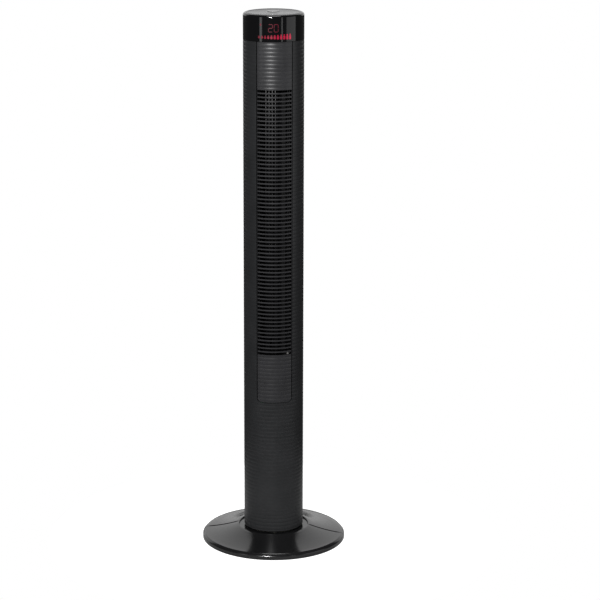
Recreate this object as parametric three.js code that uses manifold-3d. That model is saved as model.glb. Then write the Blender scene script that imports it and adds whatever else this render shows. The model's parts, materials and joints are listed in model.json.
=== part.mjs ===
// Oscillating tower fan: a ribbed column that turns on a round, two-piece base.
// Millimetres, +Z up, origin on the floor under the column's axis, front of the fan towards -Y.
import * as THREE from "three";
import { mergeVertices } from "three/addons/utils/BufferGeometryUtils.js";
import Module from "manifold-3d";

const wasm = await Module();
wasm.setup();

// ---------------------------------------------------------------- driving dimensions
const FAN_HEIGHT = 1170;
const BASE_RADIUS = 157.5;
const COLUMN_RADIUS = 65;
const WALL = 2.5; // column shells
const FIT = 0.3; // gap between neighbouring pieces

// base
const BASE_WALL = 2.8;
const BASE_BOTTOM = 1.5; // lower edge of the base shells over the floor
const RIM_SIDE_TOP = 9.5;
const RIM_BEVEL = 4.5; // the bevel between the rim's side and its top
const COLLAR_GAP = 11.5; // from the column's wall out to the edge of the base's round opening
const COLLAR_RISE = 3; // opening's edge over the seat that the column turns on
const FLARE_SAG = 2.2; // how far the top surface dips under a straight cone
const SEAM_ANGLE = -10; // degrees: where the base's front half is turned to, seen from the column
const BASE_RIBS = 5; // in each half
const RIB_THICKNESS = 2.4; // stiffening ribs and webs
const HALF_SCREWS = 2; // base screws in each half
const FOOT_COUNT = 6;
const FOOT_RADIUS = 8;
const FOOT_HEIGHT = 4;
const FOOT_INSET = 14.5;
const FOOT_ROOM = 1; // wider pocket round a foot
const PAD_MARGIN = 2; // the pad's rim round a foot
const NOTCH_WIDTH = 10; // cord notch in the rear rim
const NOTCH_TOP = 8;
const CORD_BORE = 2.6;
const INLET_DEPTH = 7.4;
const INLET_INSET = 0.6; // inlet's face, in from the rim
const NOTCH_DEPTH = 12;

// turntable
const SEAT_TOP = 28;
const SEAT_PLATE = 5;
const SEAT_STEP = 2; // from the seat's plate down to its flange
const SEAT_FLANGE = 15; // seat's lower flange, out past the opening
const POST_RADIUS = 16;
const POST_BORE = 12;
const GLIDE_RADIUS = 50;
const GLIDE_WIDTH = 6;
const GLIDE_HEIGHT = 2;
const TURN_GAP = 0.5; // running gap between the post and what turns on it
const TABLE_PLATE = 5;
const TABLE_INSET = 5; // turntable's neck, in from the column's wall
const WASHER_HEIGHT = 1.4;
const WASHER_WIDTH = 9;
const TOOTH_MODULE = 1.5;
const GEAR_TEETH = 40;
const PINION_TEETH = 10;
const GEAR_HEIGHT = 6;
const NUT_HEIGHT = 6;
const NUT_WALL = 3.5;
const SWING_MOTOR_RADIUS = 17.5;
const SWING_MOTOR_HEIGHT = 15;
const SWING_EAR_REACH = 21;
const SWING_EAR_THICKNESS = 1.5;
const SWING_MOTOR_GAP = 3; // motor's foot over the nut's lower face

// column
const COLUMN_LIFT = 5; // column's lower edge over its seat
const TUBE_TOP = 249;
const SLEEVE_LENGTH = 26; // inner sleeve that joins the lower tube to the housing
const TUBE_BOSS_HEIGHT = 14;
const TUBE_BOSS_INSET = 2; // from the tube's wall in to a boss
const CAP_HEIGHT = 56;
const PANEL_BOTTOM = 328;
const PANEL_HALF_ANGLE = 36;
const PANEL_CORNER = 10;
const PANEL_LIP = 3; // degrees of ledge behind each edge of the front panel
const PANEL_GROOVE = 1; // shadow gap round the front panel
const PANEL_SCREW_AZIMUTH = 26;
const RIB_PITCH = 8.4;
const GRILLE_BOTTOM = 436.3;
const GRILLE_HEAD = 101; // least blank height from the slots up to the cap
const GRILLE_GAP = 5;
const GRILLE_FRAME = 2; // from the slots' ends to the housing's window
const GRILLE_BARS = 1;
const LUG_DEPTH = 0.2; // how far the panel's lug and bars sink into its wall
const BAR_WIDTH = 2;
const BAR_DEPTH = 3;
const INTAKE_HALF_ANGLE = 45;
const INTAKE_STEP = 3; // one intake slot every so many ribs

// air path
const REAR_CLEARANCE = 11; // from the rear housing's inside to the impeller
const FRONT_CLEARANCE = 33; // from the front panel's inside to the impeller
const BLADE_COUNT = 14;
const BLADE_DEPTH = 10;
const BLADE_THICKNESS = 1.2;
const BLADE_SWEEP = 12; // degrees from a blade's inner edge to its outer one
const ROTOR_DISCS = 3;
const DISC_THICKNESS = 2.2;
const DISC_OVERHANG = 0.5;
const ROTOR_END_GAP = 7;
const DUCT_WALL = 1.6;
const DUCT_GAP = 4.5; // the scroll's smallest gap to the impeller
const SCROLL_OPENING = 5; // how much wider that gap is at the outlet
const TONGUE_GAP = 4;
const PARTITION = 3;
const PARTITION_MARGIN = 9; // partitions' distance from the grille's slots
const SHAFT_RADIUS = 3;
const RUNNING_GAP = 0.1;
const HUB_RADIUS = 9;
const HUB_LENGTH = 20;
const MOTOR_RADIUS = 33;
const MOTOR_HEIGHT = 58;
const MOTOR_EAR = 8; // half the width of the motor's ears, and their reach past its can
const MOTOR_EAR_THICKNESS = 3;
const MOTOR_SCREW_OUT = 3.6; // from the can to a motor screw's axis
const BUSH_RADIUS = 9;
const BUSH_HEIGHT = 8;
const BUSH_LIP = 2;

// top
const SHOULDER = 5;
const COVER_RIM = 6.5; // from the column's wall in to the top cover's edge
const COVER_HEIGHT = 3.6;
const COVER_DISH = 0.8;
const COVER_EDGE = 2;
const LEDGE_WIDTH = 4;
const LEDGE_HEIGHT = 2.5;
const KEY_RADIUS = 13.5;
const KEY_BACK = 14; // key's centre, behind the column's axis
const KEY_FLANGE = 1.2;
const KEY_PROUD = 0.6;
const KEY_GAP = 0.4;
const KEY_TRAVEL = 1.5;
const SWITCH_CLEARANCE = 0.2;
const BOARD_THICKNESS = 1.6;
const CONTROL_RADIUS = 44;
const SWITCH_HEIGHT = 8;
const SWITCH_HALF_WIDTH = 3;
const PLUNGER_RADIUS = 1.7;
const PLUNGER_HEIGHT = 2;
const POWER_BOARD_WIDTH = 64;
const POWER_BOARD_HEIGHT = 70;
const POWER_BOARD_GAP = 12; // under the fan motor
const TRANSFORMER = [22, 16, 24];
const CAPACITOR_RADIUS = 6;
const DIGIT_WIDTH = 27;
const DIGIT_OFFSET = -3;
const DIGIT_HEIGHT = 24;
const DIGIT_DEPTH = 6;
const DIGIT_RISE = 20; // over the cap's lower edge
const ICON_HALF_ANGLE = 33;
const ICON_RISE = 4.5;
const ICON_HEIGHT = 14;
const ICON_DEPTH = 2;

// fasteners
const SCREW_RADIUS = 1.6;
const SCREW_HEAD = 3.4;
const SCREW_HEAD_HEIGHT = 2.4;
const SCREW_LENGTH = 9;
const BOSS_RADIUS = 4.6;
const SCREW_PLAY = 0.25;
const REAR_SCREW_GRIP = 12; // from the housings' seam to a rear screw's head
const REAR_SCREW_END = 45; // from the housing's ends to its first and last screws

// segments round a full turn
const BASE_SEGMENTS = 48;
const COLUMN_SEGMENTS = 36;
const HOUSING_SEGMENTS = 24;
const DISC_SEGMENTS = 24;
const SMALL_SEGMENTS = 10;
const SHAFT_SEGMENTS = 20;

// ---------------------------------------------------------------- derived sizes
const TAU = 2 * Math.PI;
const columnInside = COLUMN_RADIUS - WALL;
const clearRadius = columnInside * Math.cos(Math.PI / HOUSING_SEGMENTS) - FIT; // what fits inside the facets
const collarRadius = COLUMN_RADIUS + COLLAR_GAP;
const collarHeight = SEAT_TOP + COLLAR_RISE;
const seatRadius = collarRadius - FIT;
const columnBottom = SEAT_TOP + COLUMN_LIFT;
const glideBottom = SEAT_TOP + FIT;
const tableBottom = glideBottom + GLIDE_HEIGHT + FIT;
const tableTop = tableBottom + TABLE_PLATE;
const washerBottom = tableTop + FIT;
const gearBottom = washerBottom + WASHER_HEIGHT + FIT;
const nutBottom = gearBottom + GEAR_HEIGHT + FIT;
const gearRadius = (TOOTH_MODULE * GEAR_TEETH) / 2;
const pinionRadius = (TOOTH_MODULE * PINION_TEETH) / 2;
const pinionY = gearRadius + pinionRadius;
const housingBottom = TUBE_TOP + FIT;
const capBottom = FAN_HEIGHT - CAP_HEIGHT;
const housingTop = capBottom - FIT;
const slatHeight = housingTop - GRILLE_HEAD - GRILLE_BOTTOM - GRILLE_GAP;
const grilleGaps = Math.floor(slatHeight / RIB_PITCH) + 1;
const grilleTop = GRILLE_BOTTOM + (grilleGaps - 1) * RIB_PITCH + GRILLE_GAP;
const rotorRadius = (2 * columnInside - REAR_CLEARANCE - FRONT_CLEARANCE) / 2;
const rotorY = columnInside - REAR_CLEARANCE - rotorRadius;
const lowerPartition = GRILLE_BOTTOM - PARTITION_MARGIN - PARTITION;
const upperPartition = grilleTop + PARTITION_MARGIN;
const rotorBottom = lowerPartition + PARTITION + ROTOR_END_GAP;
const rotorTop = upperPartition - ROTOR_END_GAP;
const motorTop = lowerPartition - FIT;
const coverRadius = COLUMN_RADIUS - COVER_RIM;
const coverBottom = FAN_HEIGHT - COVER_HEIGHT;
const digitBottom = capBottom + DIGIT_RISE;
const iconBottom = capBottom + ICON_RISE;

const radians = THREE.MathUtils.degToRad;
// Azimuths are counted from the front (-Y), positive towards +X.
const azimuthX = (angle) => Math.sin(radians(angle));
const azimuthY = (angle) => -Math.cos(radians(angle));

// ---------------------------------------------------------------- solids
function solidOf(geometry) {
  const bare = geometry.clone();
  bare.deleteAttribute("normal");
  bare.deleteAttribute("uv");
  const merged = mergeVertices(bare, 1e-4);
  const mesh = new wasm.Mesh({
    numProp: 3,
    vertProperties: merged.attributes.position.array,
    triVerts: new Uint32Array(merged.index.array),
  });
  return new wasm.Manifold(mesh);
}

function geometryOf(solid) {
  const mesh = solid.getMesh();
  const positions = new Float32Array(mesh.numVert * 3);
  for (let i = 0; i < mesh.numVert; i++) {
    const start = i * mesh.numProp;
    positions.set(mesh.vertProperties.subarray(start, start + 3), i * 3);
  }
  return new THREE.BufferGeometry()
    .setAttribute("position", new THREE.BufferAttribute(positions, 3))
    .setIndex(new THREE.BufferAttribute(mesh.triVerts, 1));
}

const join = (solids) => solids.reduce((sum, solid) => sum.add(solid));
const cut = (solid, tools) => (tools.length ? solid.subtract(join(tools)) : solid);

function block(xs, ys, zs) {
  const geometry = new THREE.BoxGeometry(xs[1] - xs[0], ys[1] - ys[0], zs[1] - zs[0]);
  geometry.translate((xs[0] + xs[1]) / 2, (ys[0] + ys[1]) / 2, (zs[0] + zs[1]) / 2);
  return solidOf(geometry);
}

function rod(radius, bottom, top, x = 0, y = 0, segments = SMALL_SEGMENTS) {
  const geometry = new THREE.CylinderGeometry(radius, radius, top - bottom, segments);
  geometry.rotateX(Math.PI / 2);
  geometry.translate(x, y, (bottom + top) / 2);
  return solidOf(geometry);
}

const pipe = (outer, inner, bottom, top, x = 0, y = 0, segments = SMALL_SEGMENTS) =>
  rod(outer, bottom, top, x, y, segments).subtract(rod(inner, bottom - 1, top + 1, x, y, segments));

// A profile of [radius, height] points, given anticlockwise with the axis on its left, turned about Z.
function turned(profile, segments) {
  const points = profile.map(([radius, height]) => new THREE.Vector2(radius, height));
  const closed = profile[0][0] === 0 ? points : [...points, points[0].clone()];
  const geometry = new THREE.LatheGeometry(closed, segments);
  geometry.rotateX(Math.PI / 2);
  return solidOf(geometry);
}

function extruded(shape, bottom, top, curveSegments) {
  const options = { depth: top - bottom, bevelEnabled: false, curveSegments };
  const geometry = new THREE.ExtrudeGeometry(shape, options);
  geometry.translate(0, 0, bottom);
  return solidOf(geometry);
}

// Turns a solid that was built behind the axis (+Y) round to an azimuth.
const turnedTo = (solid, azimuth) => solid.rotate([0, 0, azimuth - 180]);

// A curved wall between two radii and two azimuths.
function curvedWall(inner, outer, from, to, bottom, top, segments) {
  const step = (to - from) / segments;
  const along = (radius, k) =>
    new THREE.Vector2(radius * azimuthX(from + k * step), radius * azimuthY(from + k * step));
  const ks = Array.from({ length: segments + 1 }, (_, k) => k);
  const outline = [...ks.map((k) => along(outer, k)), ...ks.reverse().map((k) => along(inner, k))];
  return extruded(new THREE.Shape(outline), bottom, top, 1);
}

// A plate of constant thickness that follows a plan curve.
function curvedPlate(points, thickness, bottom, top) {
  const offset = (i) => {
    const before = points[Math.max(i - 1, 0)];
    const after = points[Math.min(i + 1, points.length - 1)];
    const across = new THREE.Vector2(after.y - before.y, before.x - after.x).normalize();
    return points[i].clone().addScaledVector(across, thickness);
  };
  const far = points.map((_, i) => offset(i)).reverse();
  return extruded(new THREE.Shape([...points, ...far]), bottom, top, 1);
}

// ---------------------------------------------------------------- scene
const fan = new THREE.Group();
fan.name = "tower_fan";

function addPiece(name, solid, finish) {
  const mesh = new THREE.Mesh(geometryOf(solid), new THREE.MeshStandardMaterial(finish));
  mesh.name = name;
  fan.add(mesh);
}

const FINISH = {
  column: { color: 0x26272a, roughness: 0.45, metalness: 0 },
  base: { color: 0x17181a, roughness: 0.35, metalness: 0 },
  gloss: { color: 0x08080a, roughness: 0.08, metalness: 0 },
  cover: { color: 0x6f7073, roughness: 0.3, metalness: 0 },
  inner: { color: 0x202124, roughness: 0.7, metalness: 0 },
  rubber: { color: 0x111112, roughness: 0.9, metalness: 0 },
  steel: { color: 0xa0a2a5, roughness: 0.35, metalness: 1 },
  nylon: { color: 0xd9d7cf, roughness: 0.5, metalness: 0 },
  circuit: { color: 0x1d4a30, roughness: 0.5, metalness: 0 },
  lamp: { color: 0xb02a2c, roughness: 0.3, metalness: 0 },
};

// ---------------------------------------------------------------- base
// The outer line of the base from the rim's foot up to the collar edge; the flare is a shallow sagging curve.
function baseOutline(drop) {
  const rimTop = [BASE_RADIUS - RIM_BEVEL - drop, RIM_SIDE_TOP + RIM_BEVEL - drop];
  const collar = [collarRadius, collarHeight - drop];
  const steps = 3;
  const flare = Array.from({ length: steps + 1 }, (_, i) => {
    const t = i / steps;
    const radius = rimTop[0] + (collar[0] - rimTop[0]) * t;
    const straight = rimTop[1] + (collar[1] - rimTop[1]) * t;
    return [radius, straight - 4 * FLARE_SAG * t * (1 - t)];
  });
  return [[BASE_RADIUS - drop, RIM_SIDE_TOP - drop / 2], ...flare];
}

function baseBody() {
  const hull = [
    [collarRadius, BASE_BOTTOM],
    [BASE_RADIUS, BASE_BOTTOM],
    ...baseOutline(0),
  ];
  const hollow = [
    [collarRadius + BASE_WALL, BASE_BOTTOM - 1],
    [BASE_RADIUS - BASE_WALL, BASE_BOTTOM - 1],
    ...baseOutline(BASE_WALL).slice(0, -1),
    [collarRadius + BASE_WALL, collarHeight - BASE_WALL],
  ];
  return { outer: turned(hull, BASE_SEGMENTS), inner: turned(hollow, BASE_SEGMENTS) };
}

const seatFlangeTop = SEAT_TOP - SEAT_PLATE - SEAT_STEP;
const seatFlangeBottom = seatFlangeTop - SEAT_PLATE;
const seatReach = collarRadius + SEAT_FLANGE;
const baseScrewRadius = collarRadius + SEAT_FLANGE / 2 + 1;
const baseAzimuths = (count, half) =>
  Array.from({ length: count }, (_, i) => half + ((i + 0.5) * 180) / count - 90 + SEAM_ANGLE);


function baseHalf(half) {
  const { outer, inner } = baseBody();
  const seatSpace = rod(seatReach + FIT, -1, seatFlangeTop + FIT, 0, 0, BASE_SEGMENTS);
  const ribXs = [-RIB_THICKNESS / 2, RIB_THICKNESS / 2];
  const ribs = baseAzimuths(BASE_RIBS, half).map((azimuth) =>
    turnedTo(block(ribXs, [collarRadius, BASE_RADIUS - 1], [BASE_BOTTOM + 1, collarHeight]), azimuth),
  );
  const padTop = RIM_SIDE_TOP + RIM_BEVEL;
  const pads = footAzimuths(half).map((azimuth) =>
    turnedTo(rod(FOOT_RADIUS + PAD_MARGIN, FOOT_HEIGHT + FIT, padTop, 0, footRadius), azimuth),
  );
  const bosses = screwAzimuths(half).map((azimuth) =>
    turnedTo(rod(BOSS_RADIUS, seatFlangeTop + FIT, collarHeight, 0, baseScrewRadius), azimuth),
  );
  const filled = join([...ribs, ...pads]).subtract(seatSpace).add(join(bosses)).intersect(outer);
  const footRooms = footAzimuths(half).map((azimuth) =>
    turnedTo(rod(FOOT_RADIUS + FOOT_ROOM, -1, FOOT_HEIGHT + FIT, 0, footRadius), azimuth),
  );
  const holeTop = seatFlangeTop + SCREW_LENGTH / 2;
  const screwHoles = screwAzimuths(half).map((azimuth) =>
    turnedTo(rod(SCREW_RADIUS + SCREW_PLAY, -1, holeTop, 0, baseScrewRadius), azimuth),
  );
  const collarFoot = rod(collarRadius + BASE_WALL + 1, -1, seatFlangeTop + FIT, 0, 0, BASE_SEGMENTS);
  const shell = outer.subtract(inner).subtract(collarFoot);
  const reach = BASE_RADIUS + 1;
  const side = half === 0 ? [-reach, -FIT / 2] : [FIT / 2, reach];
  const halfSpace = block([-reach, reach], side, [-1, collarHeight + 1]).rotate([0, 0, SEAM_ANGLE]);
  const notchXs = [-NOTCH_WIDTH / 2, NOTCH_WIDTH / 2];
  const notch = block(notchXs, [BASE_RADIUS - NOTCH_DEPTH, reach], [-1, NOTCH_TOP]);
  return cut(shell.add(filled), [...footRooms, ...screwHoles, notch]).intersect(halfSpace);
}

const footRadius = BASE_RADIUS - FOOT_INSET;
const footAzimuths = (half) => baseAzimuths(FOOT_COUNT / 2, half);
const screwAzimuths = (half) => baseAzimuths(HALF_SCREWS, half);

function screw(tip, x, y, length = SCREW_LENGTH) {
  const head = rod(SCREW_HEAD, tip - length - SCREW_HEAD_HEIGHT, tip - length, x, y);
  return head.add(rod(SCREW_RADIUS, tip - length - 1, tip, x, y));
}

addPiece("base_front_half", baseHalf(0), FINISH.base);
addPiece("base_rear_half", baseHalf(180), FINISH.base);

const glideInner = GLIDE_RADIUS - GLIDE_WIDTH / 2;
const glideOuter = GLIDE_RADIUS + GLIDE_WIDTH / 2;
const postTop = nutBottom + NUT_HEIGHT + 1;
const seatScrewTip = seatFlangeTop + SCREW_LENGTH / 2;
const halves = [0, 180];

function turntableSeat() {
  const profile = [
    [POST_BORE, seatFlangeBottom],
    [seatReach, seatFlangeBottom],
    [seatReach, seatFlangeTop],
    [seatRadius, seatFlangeTop],
    [seatRadius, SEAT_TOP],
    [POST_RADIUS, SEAT_TOP],
    [POST_RADIUS, postTop],
    [POST_BORE, postTop],
  ];
  const holes = halves.flatMap((half) =>
    screwAzimuths(half).map((azimuth) =>
      turnedTo(rod(SCREW_RADIUS + SCREW_PLAY, 0, seatFlangeTop + 1, 0, baseScrewRadius), azimuth),
    ),
  );
  return cut(turned(profile, COLUMN_SEGMENTS), holes);
}

addPiece("turntable_seat", turntableSeat(), FINISH.base);
halves.forEach((half, h) => {
  screwAzimuths(half).forEach((azimuth, i) => {
    const solid = screw(seatScrewTip - FIT, 0, baseScrewRadius, seatScrewTip - seatFlangeBottom);
    addPiece(`base_screw_${HALF_SCREWS * h + i + 1}`, turnedTo(solid, azimuth), FINISH.steel);
  });
  footAzimuths(half).forEach((azimuth, i) => {
    const foot = turnedTo(rod(FOOT_RADIUS, 0, FOOT_HEIGHT, 0, footRadius, SHAFT_SEGMENTS), azimuth);
    addPiece(`rubber_foot_${(h * FOOT_COUNT) / 2 + i + 1}`, foot, FINISH.rubber);
  });
});

function cordInlet() {
  const halfWidth = NOTCH_WIDTH / 2 - FIT;
  const ys = [BASE_RADIUS - INLET_INSET - INLET_DEPTH, BASE_RADIUS - INLET_INSET];
  const body = block([-halfWidth, halfWidth], ys, [BASE_BOTTOM + FIT, NOTCH_TOP - FIT]);
  const bore = rod(CORD_BORE, -2 * INLET_DEPTH, 2 * INLET_DEPTH).rotate([90, 0, 0]);
  return body.subtract(bore.translate([0, ys[0], (BASE_BOTTOM + NOTCH_TOP) / 2]));
}

addPiece("cord_inlet", cordInlet(), FINISH.rubber);

// ---------------------------------------------------------------- turntable
const washerRadius = POST_RADIUS + WASHER_WIDTH;
const postFit = POST_RADIUS + FIT;

function gearShape(teeth, pitchRadius, bore, phase) {
  const root = pitchRadius - 1.25 * TOOTH_MODULE;
  const tip = pitchRadius + 0.85 * TOOTH_MODULE;
  const pitch = TAU / teeth;
  const corners = [
    [root, -0.28],
    [tip, -0.11],
    [tip, 0.11],
    [root, 0.28],
  ];
  const outline = Array.from({ length: teeth }, (_, i) =>
    corners.map(([radius, share]) => {
      const angle = phase + (i + share) * pitch;
      return new THREE.Vector2(radius * Math.cos(angle), radius * Math.sin(angle));
    }),
  ).flat();
  const shape = new THREE.Shape(outline);
  shape.holes.push(new THREE.Path().absarc(0, 0, bore, 0, TAU, true));
  return shape;
}

const glide = pipe(glideOuter, glideInner, glideBottom, glideBottom + GLIDE_HEIGHT, 0, 0, COLUMN_SEGMENTS);
addPiece("glide_ring", glide, FINISH.nylon);
const washerTop = washerBottom + WASHER_HEIGHT;
const washer = pipe(washerRadius, postFit, washerBottom, washerTop, 0, 0, DISC_SEGMENTS);
addPiece("friction_washer", washer, FINISH.steel);
// A tooth of the fixed gear points back at the pinion, which turns a gap towards it.
const sunShape = gearShape(GEAR_TEETH, gearRadius, postFit, Math.PI / 2);
addPiece("swing_gear", extruded(sunShape, gearBottom, gearBottom + GEAR_HEIGHT, 12), FINISH.nylon);
const nut = rod(POST_RADIUS + NUT_WALL, nutBottom, nutBottom + NUT_HEIGHT, 0, 0, 6);
const nutBore = rod(postFit, 0, nutBottom + 2 * NUT_HEIGHT, 0, 0, DISC_SEGMENTS);
addPiece("post_nut", nut.subtract(nutBore), FINISH.steel);

const pinionPhase = Math.PI / PINION_TEETH - Math.PI / 2;
const pinionShape = gearShape(PINION_TEETH, pinionRadius, SHAFT_RADIUS, pinionPhase);
const pinion = extruded(pinionShape, gearBottom - FIT, gearBottom + GEAR_HEIGHT + FIT, 8);
addPiece("swing_pinion", pinion.translate([0, pinionY, 0]), FINISH.nylon);

const swingMotorBottom = nutBottom + SWING_MOTOR_GAP;
const tubeScrewAzimuths = [0, 120, 240];
const tubeBossRadius = columnInside - BOSS_RADIUS - TUBE_BOSS_INSET;

function turntable() {
  const neck = COLUMN_RADIUS - TABLE_INSET;
  const plate = pipe(neck, POST_RADIUS + TURN_GAP, tableBottom, tableTop, 0, 0, COLUMN_SEGMENTS);
  const posts = [-1, 1].map((side) =>
    rod(BOSS_RADIUS, tableTop - 1, swingMotorBottom - FIT, side * SWING_EAR_REACH, pinionY),
  );
  const postHoles = [-1, 1].map((side) =>
    rod(SCREW_RADIUS + SCREW_PLAY, tableTop + 2, swingMotorBottom, side * SWING_EAR_REACH, pinionY),
  );
  const holes = tubeScrewAzimuths.map((azimuth) =>
    turnedTo(rod(SCREW_RADIUS + SCREW_PLAY, 0, tableTop + 1, 0, tubeBossRadius), azimuth),
  );
  const headRoomTop = tableBottom + SCREW_HEAD_HEIGHT + FIT;
  const headRooms = tubeScrewAzimuths.map((azimuth) =>
    turnedTo(rod(SCREW_HEAD + FIT, 0, headRoomTop, 0, tubeBossRadius), azimuth),
  );
  return cut(join([plate, ...posts]), [...postHoles, ...holes, ...headRooms]);
}

function swingMotor() {
  const top = swingMotorBottom + SWING_MOTOR_HEIGHT;
  const can = rod(SWING_MOTOR_RADIUS, swingMotorBottom, top, 0, pinionY, SHAFT_SEGMENTS);
  const reach = SWING_EAR_REACH + BOSS_RADIUS;
  const earYs = [pinionY - BOSS_RADIUS, pinionY + BOSS_RADIUS];
  const ear = block([-reach, reach], earYs, [0, SWING_EAR_THICKNESS]);
  const shaft = rod(SHAFT_RADIUS - RUNNING_GAP, gearBottom, swingMotorBottom + 1, 0, pinionY, 8);
  const holes = [-1, 1].map((side) =>
    rod(SCREW_RADIUS + SCREW_PLAY, 0, top, side * SWING_EAR_REACH, pinionY),
  );
  return cut(join([can, ear.translate([0, 0, swingMotorBottom]), shaft]), holes);
}

addPiece("turntable", turntable(), FINISH.inner);
addPiece("swing_motor", swingMotor(), FINISH.steel);
[-1, 1].forEach((side, i) => {
  const top = swingMotorBottom + SWING_EAR_THICKNESS + FIT;
  const shank = rod(SCREW_RADIUS, top - SCREW_LENGTH, top + 1, side * SWING_EAR_REACH, pinionY);
  const head = rod(SCREW_HEAD, top, top + SCREW_HEAD_HEIGHT, side * SWING_EAR_REACH, pinionY);
  addPiece(`swing_motor_screw_${i + 1}`, head.add(shank), FINISH.steel);
});
tubeScrewAzimuths.forEach((azimuth, i) => {
  const seatAt = tableBottom + SCREW_HEAD_HEIGHT;
  const solid = screw(seatAt + SCREW_LENGTH, 0, tubeBossRadius);
  addPiece(`tube_screw_${i + 1}`, turnedTo(solid, azimuth), FINISH.steel);
});

// ---------------------------------------------------------------- column shells
function lowerTube() {
  const wall = pipe(COLUMN_RADIUS, columnInside, columnBottom, TUBE_TOP, 0, 0, COLUMN_SEGMENTS);
  const bossBottom = tableTop + FIT;
  const bossTop = bossBottom + TUBE_BOSS_HEIGHT;
  const webXs = [-RIB_THICKNESS / 2, RIB_THICKNESS / 2];
  const bosses = tubeScrewAzimuths.map((azimuth) => {
    const post = rod(BOSS_RADIUS, bossBottom, bossTop, 0, tubeBossRadius);
    const web = block(webXs, [tubeBossRadius + 2, columnInside + 1], [bossBottom, bossTop]);
    return turnedTo(post.add(web), azimuth);
  });
  const holes = tubeScrewAzimuths.map((azimuth) =>
    turnedTo(rod(SCREW_RADIUS + SCREW_PLAY, 0, bossBottom + SCREW_LENGTH + 1, 0, tubeBossRadius), azimuth),
  );
  return cut(join([wall, ...bosses]), holes);
}

function joiningSleeve() {
  const outer = clearRadius;
  const middle = TUBE_TOP + FIT / 2;
  const half = SLEEVE_LENGTH / 2;
  return pipe(outer, outer - WALL, middle - half, middle + half, 0, 0, COLUMN_SEGMENTS);
}

const panelHalfWidth = COLUMN_RADIUS * azimuthX(PANEL_HALF_ANGLE);

// The front panel's outline seen from the front, round-cornered below, as a tool that cuts through the shell.
function panelTool(inset, bottom, top) {
  const side = panelHalfWidth - inset;
  const corner = PANEL_CORNER - inset;
  const outline = new THREE.Shape();
  outline.moveTo(-side, -top);
  outline.lineTo(side, -top);
  outline.lineTo(side, -bottom - corner);
  outline.absarc(side - corner, -bottom - corner, corner, 0, Math.PI / 2, false);
  outline.absarc(corner - side, -bottom - corner, corner, Math.PI / 2, Math.PI, false);
  const depth = 2 * COLUMN_RADIUS;
  return extruded(outline, 0, depth, 4).rotate([-90, 0, 0]).translate([0, -depth, 0]);
}

const housingSegments = HOUSING_SEGMENTS / 2;
const facet = 360 / HOUSING_SEGMENTS;
const rearScrewHeights = [
  housingBottom + REAR_SCREW_END,
  (housingBottom + housingTop) / 2,
  housingTop - REAR_SCREW_END,
];
const rearScrewX = columnInside - BOSS_RADIUS + 0.4;

// A level rod along Y, for the screws that join the rear housing to the front one.
function levelRod(radius, side, height, front, back) {
  return rod(radius, -back, -front).rotate([90, 0, 0]).translate([side * rearScrewX, 0, height]);
}

const eachRearScrew = (make) =>
  rearScrewHeights.flatMap((height) => [-1, 1].map((side) => make(side, height)));

const screwHole = (side, z, front, back) => levelRod(SCREW_RADIUS + SCREW_PLAY, side, z, front, back);

const columnEnvelope = rod(COLUMN_RADIUS, 0, FAN_HEIGHT, 0, 0, COLUMN_SEGMENTS);

// Where a ledge is rooted in the wall, clear of the panel's side edge.
const panelEdge = panelHalfWidth - PANEL_GROOVE;
const ledgeRoot = THREE.MathUtils.radToDeg(Math.asin((panelEdge + FIT) / clearRadius));

function frontHousing() {
  const wall = curvedWall(columnInside, COLUMN_RADIUS, -90, 90, housingBottom, housingTop, housingSegments);
  const window = panelTool(0, PANEL_BOTTOM, FAN_HEIGHT);
  const ledges = [-1, 1].map((side) => {
    const between = (from, to) => [side * from, side * to].sort((a, b) => a - b);
    const back = clearRadius;
    const ledge = between(PANEL_HALF_ANGLE - PANEL_LIP, PANEL_HALF_ANGLE + PANEL_LIP);
    const root = between(ledgeRoot, PANEL_HALF_ANGLE + PANEL_LIP);
    return curvedWall(back - WALL, back, ...ledge, PANEL_BOTTOM, housingTop, 1).add(
      curvedWall(back - 1, columnInside + 1, ...root, PANEL_BOTTOM, housingTop, 1),
    );
  });
  const bosses = eachRearScrew((side, z) => levelRod(BOSS_RADIUS, side, z, -REAR_SCREW_GRIP, -FIT));
  const holes = eachRearScrew((side, z) => screwHole(side, z, 2 - REAR_SCREW_GRIP, 1));
  const solid = join([cut(wall, [window, seamRelief()]), ...ledges, ...bosses]);
  return cut(solid.intersect(columnEnvelope), holes);
}

// The two housings meet beside the column with a straight gap.
function seamRelief() {
  const reach = COLUMN_RADIUS + 1;
  return block([-reach, reach], [-FIT / 2, FIT / 2], [0, FAN_HEIGHT]);
}

function rearHousing() {
  const wall = curvedWall(columnInside, COLUMN_RADIUS, 90, 270, housingBottom, housingTop, housingSegments);
  const azimuths = [180 - INTAKE_HALF_ANGLE, 180 + INTAKE_HALF_ANGLE];
  const slots = Array.from({ length: Math.ceil(grilleGaps / INTAKE_STEP) }, (_, i) => {
    const bottom = GRILLE_BOTTOM + i * INTAKE_STEP * RIB_PITCH;
    return curvedWall(columnInside - 1, COLUMN_RADIUS + 3, ...azimuths, bottom, bottom + GRILLE_GAP, 4);
  });
  const wells = eachRearScrew((side, z) => levelRod(BOSS_RADIUS, side, z, FIT, COLUMN_RADIUS / 2));
  const holes = eachRearScrew((side, z) => screwHole(side, z, -1, COLUMN_RADIUS));
  const headRooms = eachRearScrew((side, z) =>
    levelRod(SCREW_HEAD + FIT, side, z, REAR_SCREW_GRIP, COLUMN_RADIUS),
  );
  const shell = cut(wall, [...slots, seamRelief()]);
  return cut(join([shell, ...wells]).intersect(columnEnvelope), [...holes, ...headRooms]);
}

function rearScrew(side, height) {
  const seat = REAR_SCREW_GRIP + FIT;
  const shank = levelRod(SCREW_RADIUS, side, height, 3 - REAR_SCREW_GRIP, seat + 1);
  return shank.add(levelRod(SCREW_HEAD, side, height, seat, seat + SCREW_HEAD_HEIGHT));
}

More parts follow.
